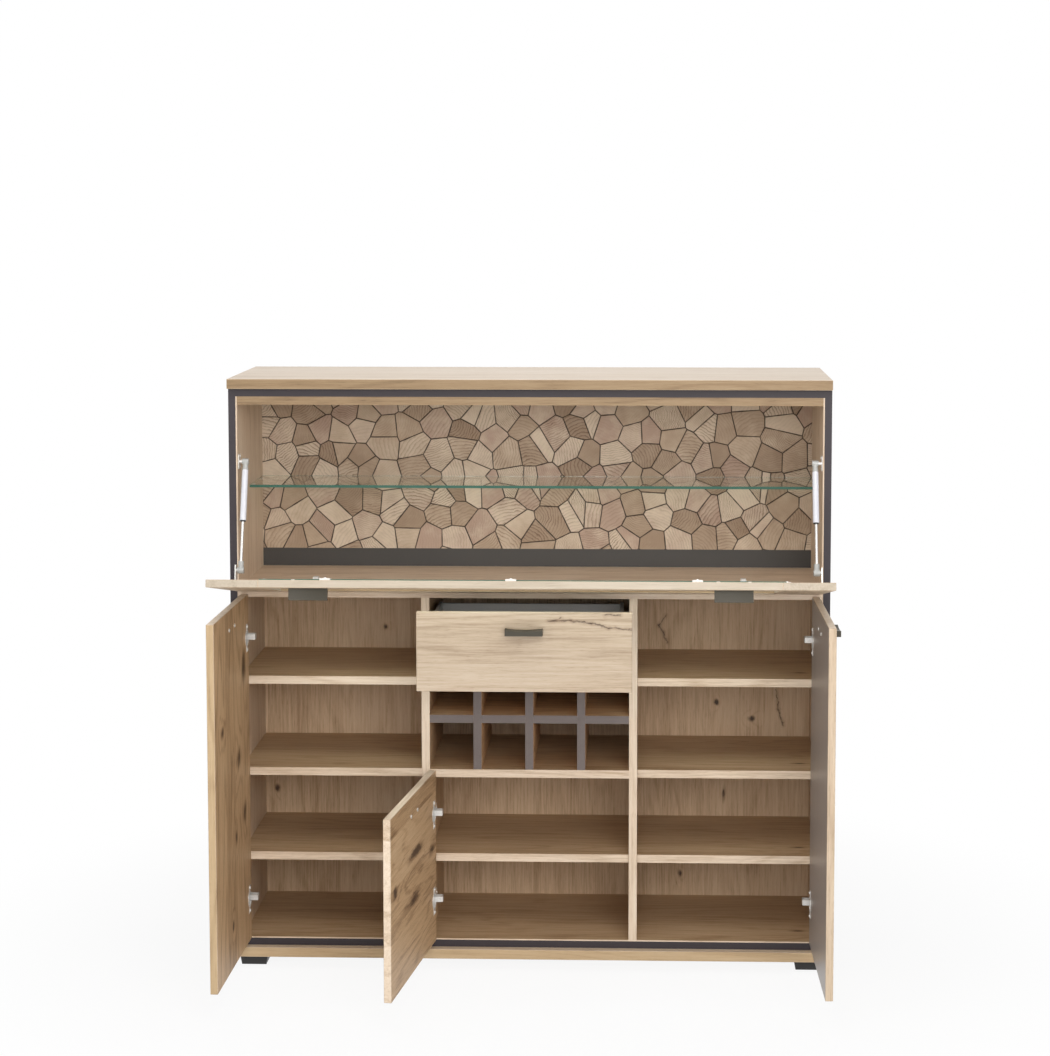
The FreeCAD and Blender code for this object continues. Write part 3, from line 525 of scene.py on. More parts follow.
print("knots on the doors:", len(LEFT_DOOR_KNOTS + RIGHT_DOOR_KNOTS + CENTRE_DOOR_KNOTS))

# %% [markdown]
# ## Oak
# The cabinet is of wild oak, with long fibres, fine dark pores and arched growth lines. A scan of a board
# would repeat and would not turn at the edges. So the pattern is solid: it runs through a board from face
# to edge, and mainly the grain's direction and the tones change from board to board. The growth lines are
# the contour lines of one slow noise, stretched along the grain to make the arches, and they swell out
# round a knot.

# %% Grain
CONTOUR_NOISE = (0.9, 6.0, 2.0, 0.45, 0.25)
FIBRE_NOISE = (9.0, 250.0, 5.0, 0.7)
STREAK_NOISE = (1.3, 46.0, 4.0, 0.6)
PORE_NOISE = (45.0, 1100.0, 1.0, 0.5)
PATCH_NOISE = (1.3, 8.0, 2.0, 0.5)
FIBRE_SHARE = 0.8
STREAK_SHARE = 0.32
PATCH_SHARE = 0.2
PORE_SHARE = 0.14
GROWTH_SHARE = 0.11
GROWTH_LINES = 95.0
GROWTH_WIDTH = 0.35
TONE_DROP = 0.17
SWELLING_REACH = 0.3
SWELLING_STOPS = ((0.1, 0.07), (0.8, 0.0))
PORE_STOPS = ((0.30, 1.0), (0.40, 0.0))


def growth_lines(tree, grain, rims, figure):
    """How much the growth lines darken the grain."""
    contour = stretched(tree, grain, *CONTOUR_NOISE)
    for rim in rims:
        swelling = ramp(tree, sums(tree, "MULTIPLY", rim, SWELLING_REACH), *SWELLING_STOPS)
        contour = sums(tree, "ADD", contour, swelling)
    wave = sums(tree, "SINE", sums(tree, "MULTIPLY", contour, GROWTH_LINES))
    wave = sums(tree, "MULTIPLY_ADD", wave, 0.5, 0.5)
    return ramp(tree, wave, (0.0, GROWTH_SHARE * figure), (GROWTH_WIDTH, 0.0))


def grain_tone(tree, grain, chance, planks):
    """How light the grain is without its growth lines, with its fibres and its pores."""
    fibres = stretched(tree, grain, *FIBRE_NOISE)
    streaks = stretched(tree, grain, *STREAK_NOISE)
    patches = stretched(tree, grain, *PATCH_NOISE)
    pores = ramp(tree, stretched(tree, grain, *PORE_NOISE), *PORE_STOPS)
    tone = sums(tree, "MULTIPLY", streaks, STREAK_SHARE)
    tone = sums(tree, "MULTIPLY_ADD", fibres, FIBRE_SHARE, tone)
    tone = sums(tree, "MULTIPLY_ADD", patches, PATCH_SHARE, tone)
    tone = sums(tree, "MULTIPLY_ADD", chance, planks, tone)
    tone = sums(tree, "SUBTRACT", tone, TONE_DROP + planks / 2)
    return tone, fibres, pores


print("fibre waves per metre across the grain:", FIBRE_NOISE[1])

# %% Tones of the oak
OAK = shades((153, 128, 101), (198, 176, 150), (218, 201, 179))
INSIDE_OAK = shades((143, 111, 78), (187, 157, 122), (208, 183, 150))
# A darker, browner oak for the inside faces of the left and centre doors: painted shade on these
# side-facing faces
SHADED_DOOR_OAK = shades((112, 82, 52), (186, 153, 116), (209, 180, 144))
BACK_OAK = shades((160, 127, 94), (209, 180, 146), (230, 207, 177))
PALE_OAK = shades((180, 153, 123), (220, 199, 175), (236, 220, 201))
TOP_OAK = shades((186, 168, 148), (212, 197, 180), (226, 215, 202))
# A paler oak for the doors' top edges: painted light, as the open flap shades them
LIT_TOP_EDGE_OAK = shades((204, 182, 156), (230, 213, 191), (239, 227, 210))
FLAP_OAK = shades((160, 145, 126), (184, 170, 150), (196, 183, 165))
# A tan oak for the bottom plate's front and the left door's free edge; on the door it is painted shade
TAN_OAK = shades((158, 130, 95), (186, 159, 122), (202, 177, 142))
LINING_OAK = shades((168, 140, 112), (208, 185, 160), (225, 207, 185))
MIDDLE_OAK = shades((158, 131, 104), (196, 172, 147), (213, 194, 172))
DRAWER_OAK = shades((147, 124, 99), (191, 171, 147), (210, 195, 175))
RACK_OAK = shades((158, 119, 82), (212, 174, 132), (229, 198, 160))
BROWN_OAK = shades((100, 76, 48), (144, 118, 85), (167, 143, 110))
RAW_BOARD = shades((162, 136, 106), (176, 150, 120), (186, 161, 131))
GRAPHITE_EDGE = shades((99, 88, 84), (106, 95, 91), (112, 101, 97))
GRAPHITE_FACE = shades((136, 127, 121), (145, 136, 130), (153, 144, 138))
TONE_PLACES = (0.12, 0.46, 0.82)


def oak_tones(tree, tone, tones):
    """The tones of one kind of oak, laid on the pattern of its grain."""
    return ramp(tree, tone, *zip(TONE_PLACES, tones))


print("each kind of oak has", len(OAK), "tones")

# %% The oak finish
PLANK_WIDTH = 0.14
PLANK_TONES = 0.1
OAK_SHINE = ((0.3, 0.62), (0.7, 0.48))
OAK_RELIEF = 0.2
OAK_RELIEF_DEPTH = 0.0004
PORE_DEPTH = 0.6


def oak(name, along, across, tones, seed, faced, joint=None, plank_width=PLANK_WIDTH,
        planks=PLANK_TONES, figure=1.0, knots=(), cracks=(), bare=None):
    """Oak with its grain along one axis of the shut part.

    Faces in faced have other tones and another roughness, some only up to a height. A bare face has
    neither knots nor cracks.
    """
    material, tree, shader = new_finish(name)
    place = shut_place(tree, joint)
    grain, flat, chance = grain_place(tree, place, along, across, plank_width, seed)
    rims = knot_rims(tree, flat, knots)
    tone, fibres, pores = grain_tone(tree, grain, chance, planks)
    tone = sums(tree, "SUBTRACT", tone, growth_lines(tree, grain, rims, figure))
    tone = sums(tree, "MULTIPLY_ADD", pores, -PORE_SHARE, tone)
    colour = oak_tones(tree, tone, tones)
    shine = ramp(tree, fibres, *OAK_SHINE)
    for direction, other, roughness, *top in faced:
        mask = facing(tree, joint, direction)
        if top:
            mask = sums(tree, "MULTIPLY", mask, sums(tree, "LESS_THAN", parts_of(tree, place)["Z"], top[0]))
        colour = blend(tree, mask, colour, oak_tones(tree, tone, other))
        shine = blend(tree, mask, shine, grey(roughness))
    shown = 1.0 if bare is None else sums(tree, "SUBTRACT", 1.0, facing(tree, joint, bare))
    bark = stretched(tree, flat, *BARK_NOISE)
    colour = with_knots(tree, colour, rims, bark, shown)
    colour = with_cracks(tree, colour, flat, cracks, bark, shown)
    fill(tree, shader, {"Base Color": colour, "Roughness": shine})
    relief = sums(tree, "MULTIPLY_ADD", pores, -PORE_DEPTH, fibres)
    add_relief(tree, shader, relief, OAK_RELIEF, OAK_RELIEF_DEPTH)
    return material


print("planks are mostly", PLANK_WIDTH, "m wide")

# %% [markdown]
# ## Oak boards
# The plates and shelves have their grain from side to side, the back panel, the linings and the outer
# doors have it upright, and on the drawer and the centre door it lies level. Some edges are taped with
# another strip of oak, darker or paler than the face. Thin strips could be modelled for that, but flush
# tape has no step. So the faces that look a certain way get other tones: the plates' edges are brown, with
# a tan front on the lower one, the bottle rack's fronts are graphite, and the right door is graphite
# inside. Other tones are painted light and shade: the pale fronts of the shelves, the middle panel and
# the dividers and the paler top edges of the doors are painted light, and the darker inside faces of the
# left and centre doors, the tan free edge of the left door and the brown edge of the flap's rail at the
# pane are painted shade.

# %% Faces with other tones
FACE_SHINE = 0.5
TOP_SHINE = 0.55
RAW_SHINE = 0.8
GRAPHITE_SHINE = 0.35
UNDERSIDE_SHINE = 0.6
# Height on the shut flap below which the rail's edge at the pane is painted shade
WINDOW_SHADE_TOP = 1.07


def faces(tones, *ways):
    """These tones on the faces that look these ways."""
    return tuple((way, tones, FACE_SHINE) for way in ways)


# The fronts of the shelves, the middle panel and the dividers get a paler oak: painted light from the front
PAINTED_LIGHT_FRONT = faces(PALE_OAK, FRONT)
# The doors' top edges get the paler oak as painted light
PAINTED_LIGHT_TOP = faces(LIT_TOP_EDGE_OAK, UP)
RACK_FRONT = faces(GRAPHITE_EDGE, FRONT)
TOP_PLATE_FACES = (*faces(BROWN_OAK, FRONT, BACK, LEFT, RIGHT), (UP, TOP_OAK, TOP_SHINE))
BOTTOM_PLATE_FACES = (*faces(BROWN_OAK, BACK, LEFT, RIGHT), *faces(TAN_OAK, FRONT))
# The left door's free edge is tan as painted shade
LEFT_DOOR_FACES = (*PAINTED_LIGHT_TOP, *faces(TAN_OAK, RIGHT), *faces(SHADED_DOOR_OAK, BACK))
# The inside faces of the left and centre doors get the darker oak as painted shade
CENTRE_DOOR_FACES = (*faces(PALE_OAK, LEFT, RIGHT, DOWN), *PAINTED_LIGHT_TOP, *faces(SHADED_DOOR_OAK, BACK))
RIGHT_DOOR_FACES = (*PAINTED_LIGHT_TOP, (BACK, GRAPHITE_FACE, GRAPHITE_SHINE))
FLAP_EDGES = faces(FLAP_OAK, LEFT, RIGHT, UP, DOWN)
# The lower rail's upward edge at the pane gets brown oak as painted shade, in place of the light that falls
# through the glass onto it
FLAP_RAIL_FACES = (*FLAP_EDGES, (UP, BROWN_OAK, UNDERSIDE_SHINE, WINDOW_SHADE_TOP))
print("faces of the top plate:", len(TOP_PLATE_FACES))

# %% Boards of the carcass
WIDE = {"plank_width": 0.19}
BACK_BOARD = {
    "plank_width": 0.17, "planks": 0.18, "figure": 0.7, "knots": BACK_KNOTS, "cracks": BACK_CRACKS,
    "bare": BACK,
}
# Finish, grain along and across, tones, seed, faces with other tones, what else differs, and the parts
CARCASS_BOARDS = (
    ("top_plate_oak", "X", "Y", OAK, 0.3, TOP_PLATE_FACES, {}, "top_panel"),
    ("bottom_plate_oak", "X", "Y", OAK, 0.7, BOTTOM_PLATE_FACES, {}, "bottom_panel"),
    ("shelf_oak", "X", "Y", INSIDE_OAK, 1.1, PAINTED_LIGHT_FRONT, {**WIDE, "knots": SHELF_KNOTS},
     "shelves", "floor_lining", "rack_floor_panel", "drawer_support_panel"),
    ("middle_oak", "X", "Y", MIDDLE_OAK, 1.6, PAINTED_LIGHT_FRONT, WIDE, "middle_panel"),
    ("ceiling_oak", "X", "Y", OAK, 1.9, faces(BROWN_OAK, FRONT), WIDE, "ceiling_panel"),
    ("lining_oak", "Z", "Y", LINING_OAK, 2.3, (), {}, "side_linings"),
    ("divider_oak", "Z", "Y", INSIDE_OAK, 2.6, PAINTED_LIGHT_FRONT, {}, "dividers"),
    ("rack_upright_oak", "Y", "Z", RACK_OAK, 2.9, RACK_FRONT, {}, "rack_uprights"),
    ("rack_cross_oak", "X", "Y", RACK_OAK, 3.2, RACK_FRONT, {}, "rack_cross_board"),
    ("back_oak", "Z", "X", BACK_OAK, 3.7, ((BACK, RAW_BOARD, RAW_SHINE),), BACK_BOARD, "back_panel"),
)


def finish_boards(boards):
    """Every board of a table in its own oak."""
    for name, along, across, tones, seed, faced, extras, *parts in boards:
        give(oak(name, along, across, tones, seed, faced, **extras), *parts)
    print("boards:", [row[0] for row in boards])


finish_boards(CARCASS_BOARDS)

# %% Fronts
WILD = {"plank_width": 0.11, "planks": 0.2, "figure": 1.25}
FRONTS = (
    ("left_door_oak", "Z", "X", OAK, 4.1, LEFT_DOOR_FACES,
     {**WILD, "joint": "left_door_hinge", "knots": LEFT_DOOR_KNOTS}, "left_door_panel"),
    ("right_door_oak", "Z", "X", OAK, 4.6, RIGHT_DOOR_FACES,
     {"joint": "right_door_hinge", "knots": RIGHT_DOOR_KNOTS, "bare": BACK}, "right_door_panel"),
    ("centre_door_oak", "X", "Z", OAK, 5.2, CENTRE_DOOR_FACES,
     {**WILD, "joint": "centre_door_hinge", "knots": CENTRE_DOOR_KNOTS}, "centre_door_panel"),
    ("drawer_oak", "X", "Z", DRAWER_OAK, 6.4, (), {"cracks": DRAWER_CRACKS}, "drawer_front"),
    ("flap_stile_oak", "Z", "X", OAK, 7.3, FLAP_EDGES, {"joint": "flap_hinge"}, "flap_stiles"),
    ("flap_rail_oak", "X", "Z", OAK, 7.9, FLAP_RAIL_FACES, {"joint": "flap_hinge"}, "flap_rails"),
)
finish_boards(FRONTS)

# %% [markdown]
# ## Mosaic back wall
# The upper bay's back wall is set with thin slices of oak, sawn across the grain into odd polygons with
# dark joints. Hundreds of small plates could be cut for it, but at this size a relief and good colours do
# the same. A Voronoi pattern gives the polygons. Each has its own tone, and its growth rings are circles
# round a point of its own, so that they run a different way in each slice.

# %% Slices of the mosaic
SLICES_PER_METRE = 19.0
HEART_NEAR = 0.04
HEART_SPREAD = 0.12

mosaic, tree, shader = new_finish("oak_slice_mosaic")
wall_parts = parts_of(tree, object_place(tree))
wall = joined(tree, wall_parts["X"], wall_parts["Z"])
cells = {"Vector": wall, "Scale": SLICES_PER_METRE, "Randomness": 1.0}
slices = add_node(tree, "ShaderNodeTexVoronoi", cells, voronoi_dimensions="2D", feature="F1").outputs
edges = add_node(tree, "ShaderNodeTexVoronoi", cells, voronoi_dimensions="2D", feature="DISTANCE_TO_EDGE")
ring_chance, way_chance, tone_chance = add_node(
    tree, "ShaderNodeSeparateColor", {0: slices["Color"]}
).outputs
angle = sums(tree, "MULTIPLY", way_chance, 2 * math.pi)
reach = sums(tree, "MULTIPLY_ADD", tone_chance, HEART_SPREAD, HEART_NEAR)
lean = joined(
    tree,
    sums(tree, "MULTIPLY", sums(tree, "COSINE", angle), reach),
    sums(tree, "MULTIPLY", sums(tree, "SINE", angle), reach),
)
radius = vector_value(tree, "DISTANCE", wall, vector_sums(tree, "ADD", slices["Position"], lean))
print("mosaic of slices about", round(1000 / SLICES_PER_METRE), "mm wide")

# %% Growth rings of the slices
# A noise here is waves per metre, detail and roughness
RING_SPACING = 0.0052
NARROWEST_RINGS = 0.7
RIPPLE_NOISE = (34.0, 4.0, 0.6)
RIPPLE_REACH = 0.018
WORN_NOISE = (26.0, 3.0, 0.6)
RING_STOPS = ((0.0, 0.1), (0.5, 0.25), (0.85, 1.0), (1.0, 0.1))
RING_CHANCE_STOPS = ((0.15, 0.15), (0.85, 0.85))
WORN_STOPS = ((0.34, 0.4), (0.62, 1.0))

rings = sums(tree, "MULTIPLY_ADD", noise(tree, wall, *RIPPLE_NOISE), RIPPLE_REACH, radius)
spacing = sums(tree, "MULTIPLY_ADD", way_chance, RING_SPACING, NARROWEST_RINGS * RING_SPACING)
rings = sums(tree, "FRACT", sums(tree, "DIVIDE", rings, spacing))
ring_lines = ramp(tree, rings, *RING_STOPS)
ring_share = sums(tree, "MULTIPLY", ring_lines, ramp(tree, ring_chance, *RING_CHANCE_STOPS))
worn = ramp(tree, noise(tree, wall, *WORN_NOISE), *WORN_STOPS)
ring_share = sums(tree, "MULTIPLY", ring_share, worn)
print("rings from", round(1000 * NARROWEST_RINGS * RING_SPACING, 1), "mm apart")

# %% Tones and joints of the mosaic
SLICE_TONES = shades((160, 136, 113), (186, 163, 139), (217, 198, 175), (180, 153, 134))
FIRST_TONE = 0.12
TONE_STEP = 0.26
RING_DARK = seen(104, 76, 54)
CLOUD_NOISE = (21.0, 3.0, 0.6)
CLOUD_SHARE = 0.5
SPECK_NOISE = (900.0, 2.0, 0.6)
SPECK_SHARE = 0.25
SLICE_SHARE = 0.8
JOINT_DARK = seen(42, 27, 15)
JOINT_NOISE = (45.0, 2.0, 0.5)
JOINT_RAGGED = 0.03
JOINT_STOPS = ((0.0135, 0.95), (0.0324, 0.0))

cloud = sums(tree, "MULTIPLY_ADD", noise(tree, wall, *CLOUD_NOISE), CLOUD_SHARE, -CLOUD_SHARE / 2)
tone_place = sums(tree, "MULTIPLY_ADD", tone_chance, SLICE_SHARE, cloud)
tone_place = sums(tree, "MULTIPLY_ADD", noise(tree, wall, *SPECK_NOISE), SPECK_SHARE, tone_place)
tone_stops = [(FIRST_TONE + TONE_STEP * step, shade) for step, shade in enumerate(SLICE_TONES)]
tone = blend(tree, ring_share, ramp(tree, tone_place, *tone_stops), RING_DARK)
sawn = sums(tree, "MULTIPLY_ADD", noise(tree, wall, *JOINT_NOISE), JOINT_RAGGED, edges.outputs["Distance"])
joint_line = ramp(tree, sums(tree, "SUBTRACT", sawn, JOINT_RAGGED / 2), *JOINT_STOPS)
tone = blend(tree, joint_line, tone, JOINT_DARK)
print("mosaic tones:", len(SLICE_TONES))

# %% Mosaic finish
MOSAIC_ROUGHNESS = 0.7
SLICE_STEP = 0.35
RING_DEPTH = 0.12
MOSAIC_RELIEF = 0.6
MOSAIC_RELIEF_DEPTH = 0.002

fill(tree, shader, {"Base Color": tone, "Roughness": MOSAIC_ROUGHNESS})
height = sums(tree, "MULTIPLY_ADD", way_chance, SLICE_STEP, sums(tree, "SUBTRACT", 1.0, joint_line))
height = sums(tree, "MULTIPLY_ADD", ring_share, -RING_DEPTH, height)
add_relief(tree, shader, height, MOSAIC_RELIEF, MOSAIC_RELIEF_DEPTH)
give(mosaic, "mosaic_back_panel")
print("mosaic relief", round(1000 * MOSAIC_RELIEF_DEPTH), "mm deep")

# %% [markdown]
# ## Plain finishes
# The graphite boards are matt melamine, the metal parts are brushed or plated, and the plastic ones have
# the slight texture that a mould leaves. Each could be one flat colour, but real surfaces are never that
# even. So one helper makes them all: two close tones that are mixed by a fine noise and a broad one, with
# the fine noise in the shine too. A strut's tube and rod have a grey fitting at one end, which is found by
# its distance from that end.

# %% Plain finish
FINE_NOISE = (3.0, 0.6)
BROAD_NOISE = (6.0, 2.0, 0.5)
BROAD_SHARE = 0.4
TONES_FROM, TONES_TO = 0.3, 0.7
SHINE_FROM, SHINE_TO = 0.25, 0.75
SHINE_SPREAD = 0.07
PLAIN_RELIEF = 0.3
FITTING_GREY = seen(172, 172, 168)
FITTING_REACH = 0.0205


def plain(name, dark, light, shine, waves, relief=0.0, metal=0.0, stretch=(1, 1, 1), coat=0.0, end=None):
    """A surface between two tones, broken up by a noise, with a grey fitting round any end."""
    material, tree, shader = new_finish(name)
    place = object_place(tree)
    fine = noise(tree, vector_sums(tree, "MULTIPLY", place, stretch), waves, *FINE_NOISE)
    broad = noise(tree, place, *BROAD_NOISE)
    pattern = sums(tree, "MULTIPLY_ADD", broad, BROAD_SHARE, sums(tree, "MULTIPLY", fine, 1 - BROAD_SHARE))
    colour = ramp(tree, pattern, (TONES_FROM, seen(*dark)), (TONES_TO, seen(*light)))
    rough = ramp(tree, fine, (SHINE_FROM, shine + SHINE_SPREAD), (SHINE_TO, shine - SHINE_SPREAD))
    if end:
        away = vector_sums(tree, "MULTIPLY", vector_sums(tree, "SUBTRACT", place, end), (0, 1, 1))
        fitting = sums(tree, "LESS_THAN", vector_value(tree, "LENGTH", away), FITTING_REACH)
        colour = blend(tree, fitting, colour, FITTING_GREY)
        if metal:
            metal = sums(tree, "MULTIPLY_ADD", fitting, -metal, metal)
    fill(tree, shader, {"Base Color": colour, "Roughness": rough, "Metallic": metal, "Coat Weight": coat})
    if relief:
        add_relief(tree, shader, fine, PLAIN_RELIEF, relief)
    return material


print("share of the broad noise:", BROAD_SHARE)

# %% Boards and fittings
STRUT_LENGTH = 0.246
BRUSHED = (1, 12, 12)


def ending(*ends):
    """The parts whose names end like this."""
    return [name for name in cad_nodes if name.endswith(ends)]


strut_top = Vector(joints["left_strut_turn"]["pos_m"])
strut_way = Vector(joints["left_strut_stroke"]["axis"])
strut_foot = strut_top + strut_way * STRUT_LENGTH
# Finish, dark and light tone, shine, waves per metre, what else differs, and the parts
PLAIN_PARTS = (
    # The side panels, top frame board and floor board are graphite, darkened beyond the rack's graphite
    # edges as painted shade on the recessed frame
    ("graphite_melamine", (39, 31, 36), (46, 38, 42), 0.55, 900.0, {"relief": 0.0002},
     "left_side_panel", "right_side_panel", "top_frame_board", "floor_board"),
    ("strip_melamine", (53, 49, 45), (61, 57, 52), 0.5, 900.0, {"relief": 0.0002}, "back_wall_strip"),
    ("nickel_plate", (206, 203, 198), (232, 230, 226), 0.34, 260.0, {"metal": 0.5},
     *ending("hinge_arms", "hinge_cups", "handle_screws"),
     "shelf_pins", "strut_side_brackets", "flap_strut_brackets"),
    ("pull_metal", (56, 51, 40), (67, 62, 49), 0.5, 700.0,
     {"relief": 0.0001, "metal": 0.2, "stretch": BRUSHED}, *ending("_handle", "_handles")),
    ("clip_plastic", (226, 226, 222), (238, 238, 235), 0.35, 500.0, {}, "flap_glass_clips"),
    ("drawer_foil", (148, 145, 144), (162, 159, 158), 0.5, 700.0, {"relief": 0.0001},
     "drawer_walls", "drawer_bottom"),
    ("runner_steel", (128, 128, 130), (158, 158, 160), 0.38, 300.0, {"metal": 0.9},
     "drawer_rails", "drawer_slides"),
    ("black_plastic", (26, 25, 24), (40, 38, 36), 0.5, 1100.0, {"relief": 0.0003},
     "feet", "centre_support_foot"),
    ("strut_lacquer", (206, 206, 212), (224, 224, 230), 0.25, 300.0, {"coat": 0.4, "end": strut_top},
     "left_strut_cylinder", "right_strut_cylinder"),
    ("rod_chrome", (190, 188, 184), (222, 220, 217), 0.25, 260.0, {"metal": 0.7, "end": strut_foot},
     "left_strut_rod", "right_strut_rod"),
)
finishes = {}
for name, dark, light, shine, waves, extras, *parts in PLAIN_PARTS:
    finishes[name] = plain(name, dark, light, shine, waves, **extras)
    give(finishes[name], *parts)
print("plain finishes:", list(finishes))

# %% [markdown]
# ## Glass
# The flap's pane and the upper shelf are clear float glass with a green edge. The green could come from
# absorption, but in thin panes that takes many bounces of light to show. So the edges have a green tone,
# and the faces stay nearly clear. The panes are real solids that bend the light. A lamp's shadow rays go
# straight through, because a pane throws almost no shadow.

# %% Glass finish
GLASS_BODY = (0.94, 0.985, 0.965, 1.0)
GLASS_EDGE = seen(74, 116, 102)
GLASS_SHADOW = (0.9, 0.96, 0.93, 1.0)
GLASS_IOR = 1.5
GLASS_GLOSS = 0.5
EDGE_GLOSS_LOSS = 0.45
EDGE_CLOUDING = 0.85
SMEAR_NOISE = (5.0, 2.0, 0.5)
SMEAR_STOPS = ((0.3, 0.0), (0.8, 0.03))


def clear_glass(name, joint, *edge_ways):
    """Clear glass that shows green on the edges that look these ways."""
    material, tree, shader = new_finish(name)
    edge = facing(tree, joint, edge_ways[0])
    for way in edge_ways[1:]:
        edge = sums(tree, "MAXIMUM", edge, facing(tree, joint, way))
    smear = ramp(tree, noise(tree, object_place(tree), *SMEAR_NOISE), *SMEAR_STOPS)
    fill(tree, shader, {
        "Base Color": blend(tree, edge, GLASS_BODY, GLASS_EDGE),
        "Roughness": smear,
        "IOR": GLASS_IOR,
        "Transmission Weight": sums(tree, "MULTIPLY_ADD", edge, -EDGE_CLOUDING, 1.0),
        "Specular IOR Level": sums(tree, "MULTIPLY_ADD", edge, -EDGE_GLOSS_LOSS, GLASS_GLOSS),
    })
    through = add_node(tree, "ShaderNodeBsdfTransparent", {"Color": GLASS_SHADOW})
    shadow = add_node(tree, "ShaderNodeLightPath").outputs["Is Shadow Ray"]
    mixed_shader(tree, shadow, shader, through, "Material Output")
    return material


give(clear_glass("shelf_glass", None, RIGHT, LEFT, FRONT, BACK), "glass_shelf")
give(clear_glass("pane_glass", "flap_hinge", RIGHT, LEFT, UP, DOWN), "flap_glass")
print("glass on the shelf and the flap")

# %% [markdown]
# ## Screws
# The hinges, clips and brackets are held by small cross-head screws. A recess could be cut with a
# Boolean, but that leaves untidy faces. A circle of twelve points is neater, because a cross has twelve
# corners too: the circle is pulled up in rings, the last ring is moved to the corners of a cross, and the
# cross is pushed down to make the recess.

# %% Screw head
SCREW_POINTS = 12
SCREW_TURN = 15
QUARTER_TURN = 90
RIM_HEIGHT = 0.55
TOP_RADIUS = 0.86
CROSS_ARM = 0.55
CROSS_HALF = 0.14
RECESS_FLOOR = 0.35


def cross_corner(vertex, arm, half):
    """The corner of a cross that lies nearest to a point of the circle."""
    step = round(math.degrees(math.atan2(vertex.co.y, vertex.co.x)) % QUARTER_TURN)
    x_sign, y_sign = math.copysign(1, vertex.co.x), math.copysign(1, vertex.co.y)
    if step == QUARTER_TURN / 2:
        return x_sign * half, y_sign * half
    long_x = abs(vertex.co.x) > abs(vertex.co.y)
    return (x_sign * arm, y_sign * half) if long_x else (x_sign * half, y_sign * arm)


def pulled_ring(shape, edges):
    """A new ring of points, pulled out of a ring of edges."""
    made = bmesh.ops.extrude_edge_only(shape, edges=edges)["geom"]
    points = [item for item in made if isinstance(item, bmesh.types.BMVert)]
    rim = [item for item in made if isinstance(item, bmesh.types.BMEdge) and len(item.link_faces) == 1]
    return points, rim


def add_screw(shape, place, radius, height):
    """A pan head with a cross recess, standing on the plane of a place along its Z."""
    turn = Matrix.Rotation(math.radians(SCREW_TURN), 4, "Z")
    base = bmesh.ops.create_circle(shape, segments=SCREW_POINTS, radius=radius, matrix=turn)["verts"]
    edges = list({edge for vertex in base for edge in vertex.link_edges})
    points = list(base)
    for scale, rise in ((1.0, RIM_HEIGHT * height), (TOP_RADIUS, height)):
        ring, edges = pulled_ring(shape, edges)
        for vertex in ring:
            flat = Vector((vertex.co.x, vertex.co.y, 0)).normalized() * radius * scale
            vertex.co = (flat.x, flat.y, rise)
        points += ring
    ring, edges = pulled_ring(shape, edges)
    for vertex in ring:
        vertex.co = (*cross_corner(vertex, CROSS_ARM * radius, CROSS_HALF * radius), height)
    points += ring
    ring, edges = pulled_ring(shape, edges)
    for vertex in ring:
        vertex.co.z = RECESS_FLOOR * height
    points += ring
    bmesh.ops.contextual_create(shape, geom=edges)
    bmesh.ops.transform(shape, matrix=place, verts=points)


print("a screw head has", SCREW_POINTS, "points in a ring")


# %% Pieces that ride on a body
def standing(point, outward):
    """A place at a point whose Z looks outward."""
    return Matrix.Translation(point) @ Vector(outward).to_track_quat("Z", "Y").to_matrix().to_4x4()


def piece_of(shape, name, body, material, smooth=False):
    """The finished mesh as a piece that rides on a body."""
    bmesh.ops.recalc_face_normals(shape, faces=shape.faces)
    mesh = bpy.data.meshes.new(name)
    shape.to_mesh(mesh)
    shape.free()
    mesh.materials.append(material)
    for face in mesh.polygons:
        face.use_smooth = smooth
    piece = bpy.data.objects.new(name, mesh)
    scene.collection.objects.link(piece)
    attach(piece, body)
    return piece


def screws_on(name, body, places, radius, height):
    """A row of screws as one piece."""
    shape = bmesh.new()
    for place in places:
        add_screw(shape, place, radius, height)
    piece = piece_of(shape, name, body, finishes["nickel_plate"])
    print(name, len(places), "screws,", len(piece.data.polygons), "faces")


# %% [markdown]
# ## Hinge screws
# A cup hinge has two screws in its cup's flange, two in its plate on the wall and two that clamp the arm.
# Each could be placed by eye, but a door has two hinges and the flap hangs on the same kind. So the
# places are written once, in the hinge's own axes: its pin is the origin, the front runs along X and the
# inside of the cabinet is at Y. The cup's screws are then turned with the front from shut to open.

# %% Hinge screws
CUP_MIDDLE = 0.0125
CUP_FACE = 0.011
CUP_SCREW = 0.026
PLATE_SCREW = 0.017
PLATE_MIDDLE = 0.0445
PLATE_FACE = 0.002
ARM_HEIGHT = 0.008
ARM_SCREWS = (0.031, 0.058)
CUP_SCREW_SIZE = (0.0034, 0.0016)
ARM_SCREW_SIZE = (0.0032, 0.0014)
HINGE_INWARD = (0, 1, 0)
HINGE_ALONG = (1, 0, 0)


def opened(joint_name):
    """The turn of a front from shut to the way that it stands open."""
    pivot = Matrix.Translation(joints[joint_name]["pos_m"])
    return pivot @ shut_turn(joint_name).inverted() @ pivot.inverted()


def hinge_axes(along, pivot):
    """A hinge's own axes at a pivot: X along the front, Y to the inside."""
    inward, along = Vector(BACK), Vector(along)
    axes = Matrix((along, inward, along.cross(inward))).transposed().to_4x4()
    return Matrix.Translation(pivot) @ axes


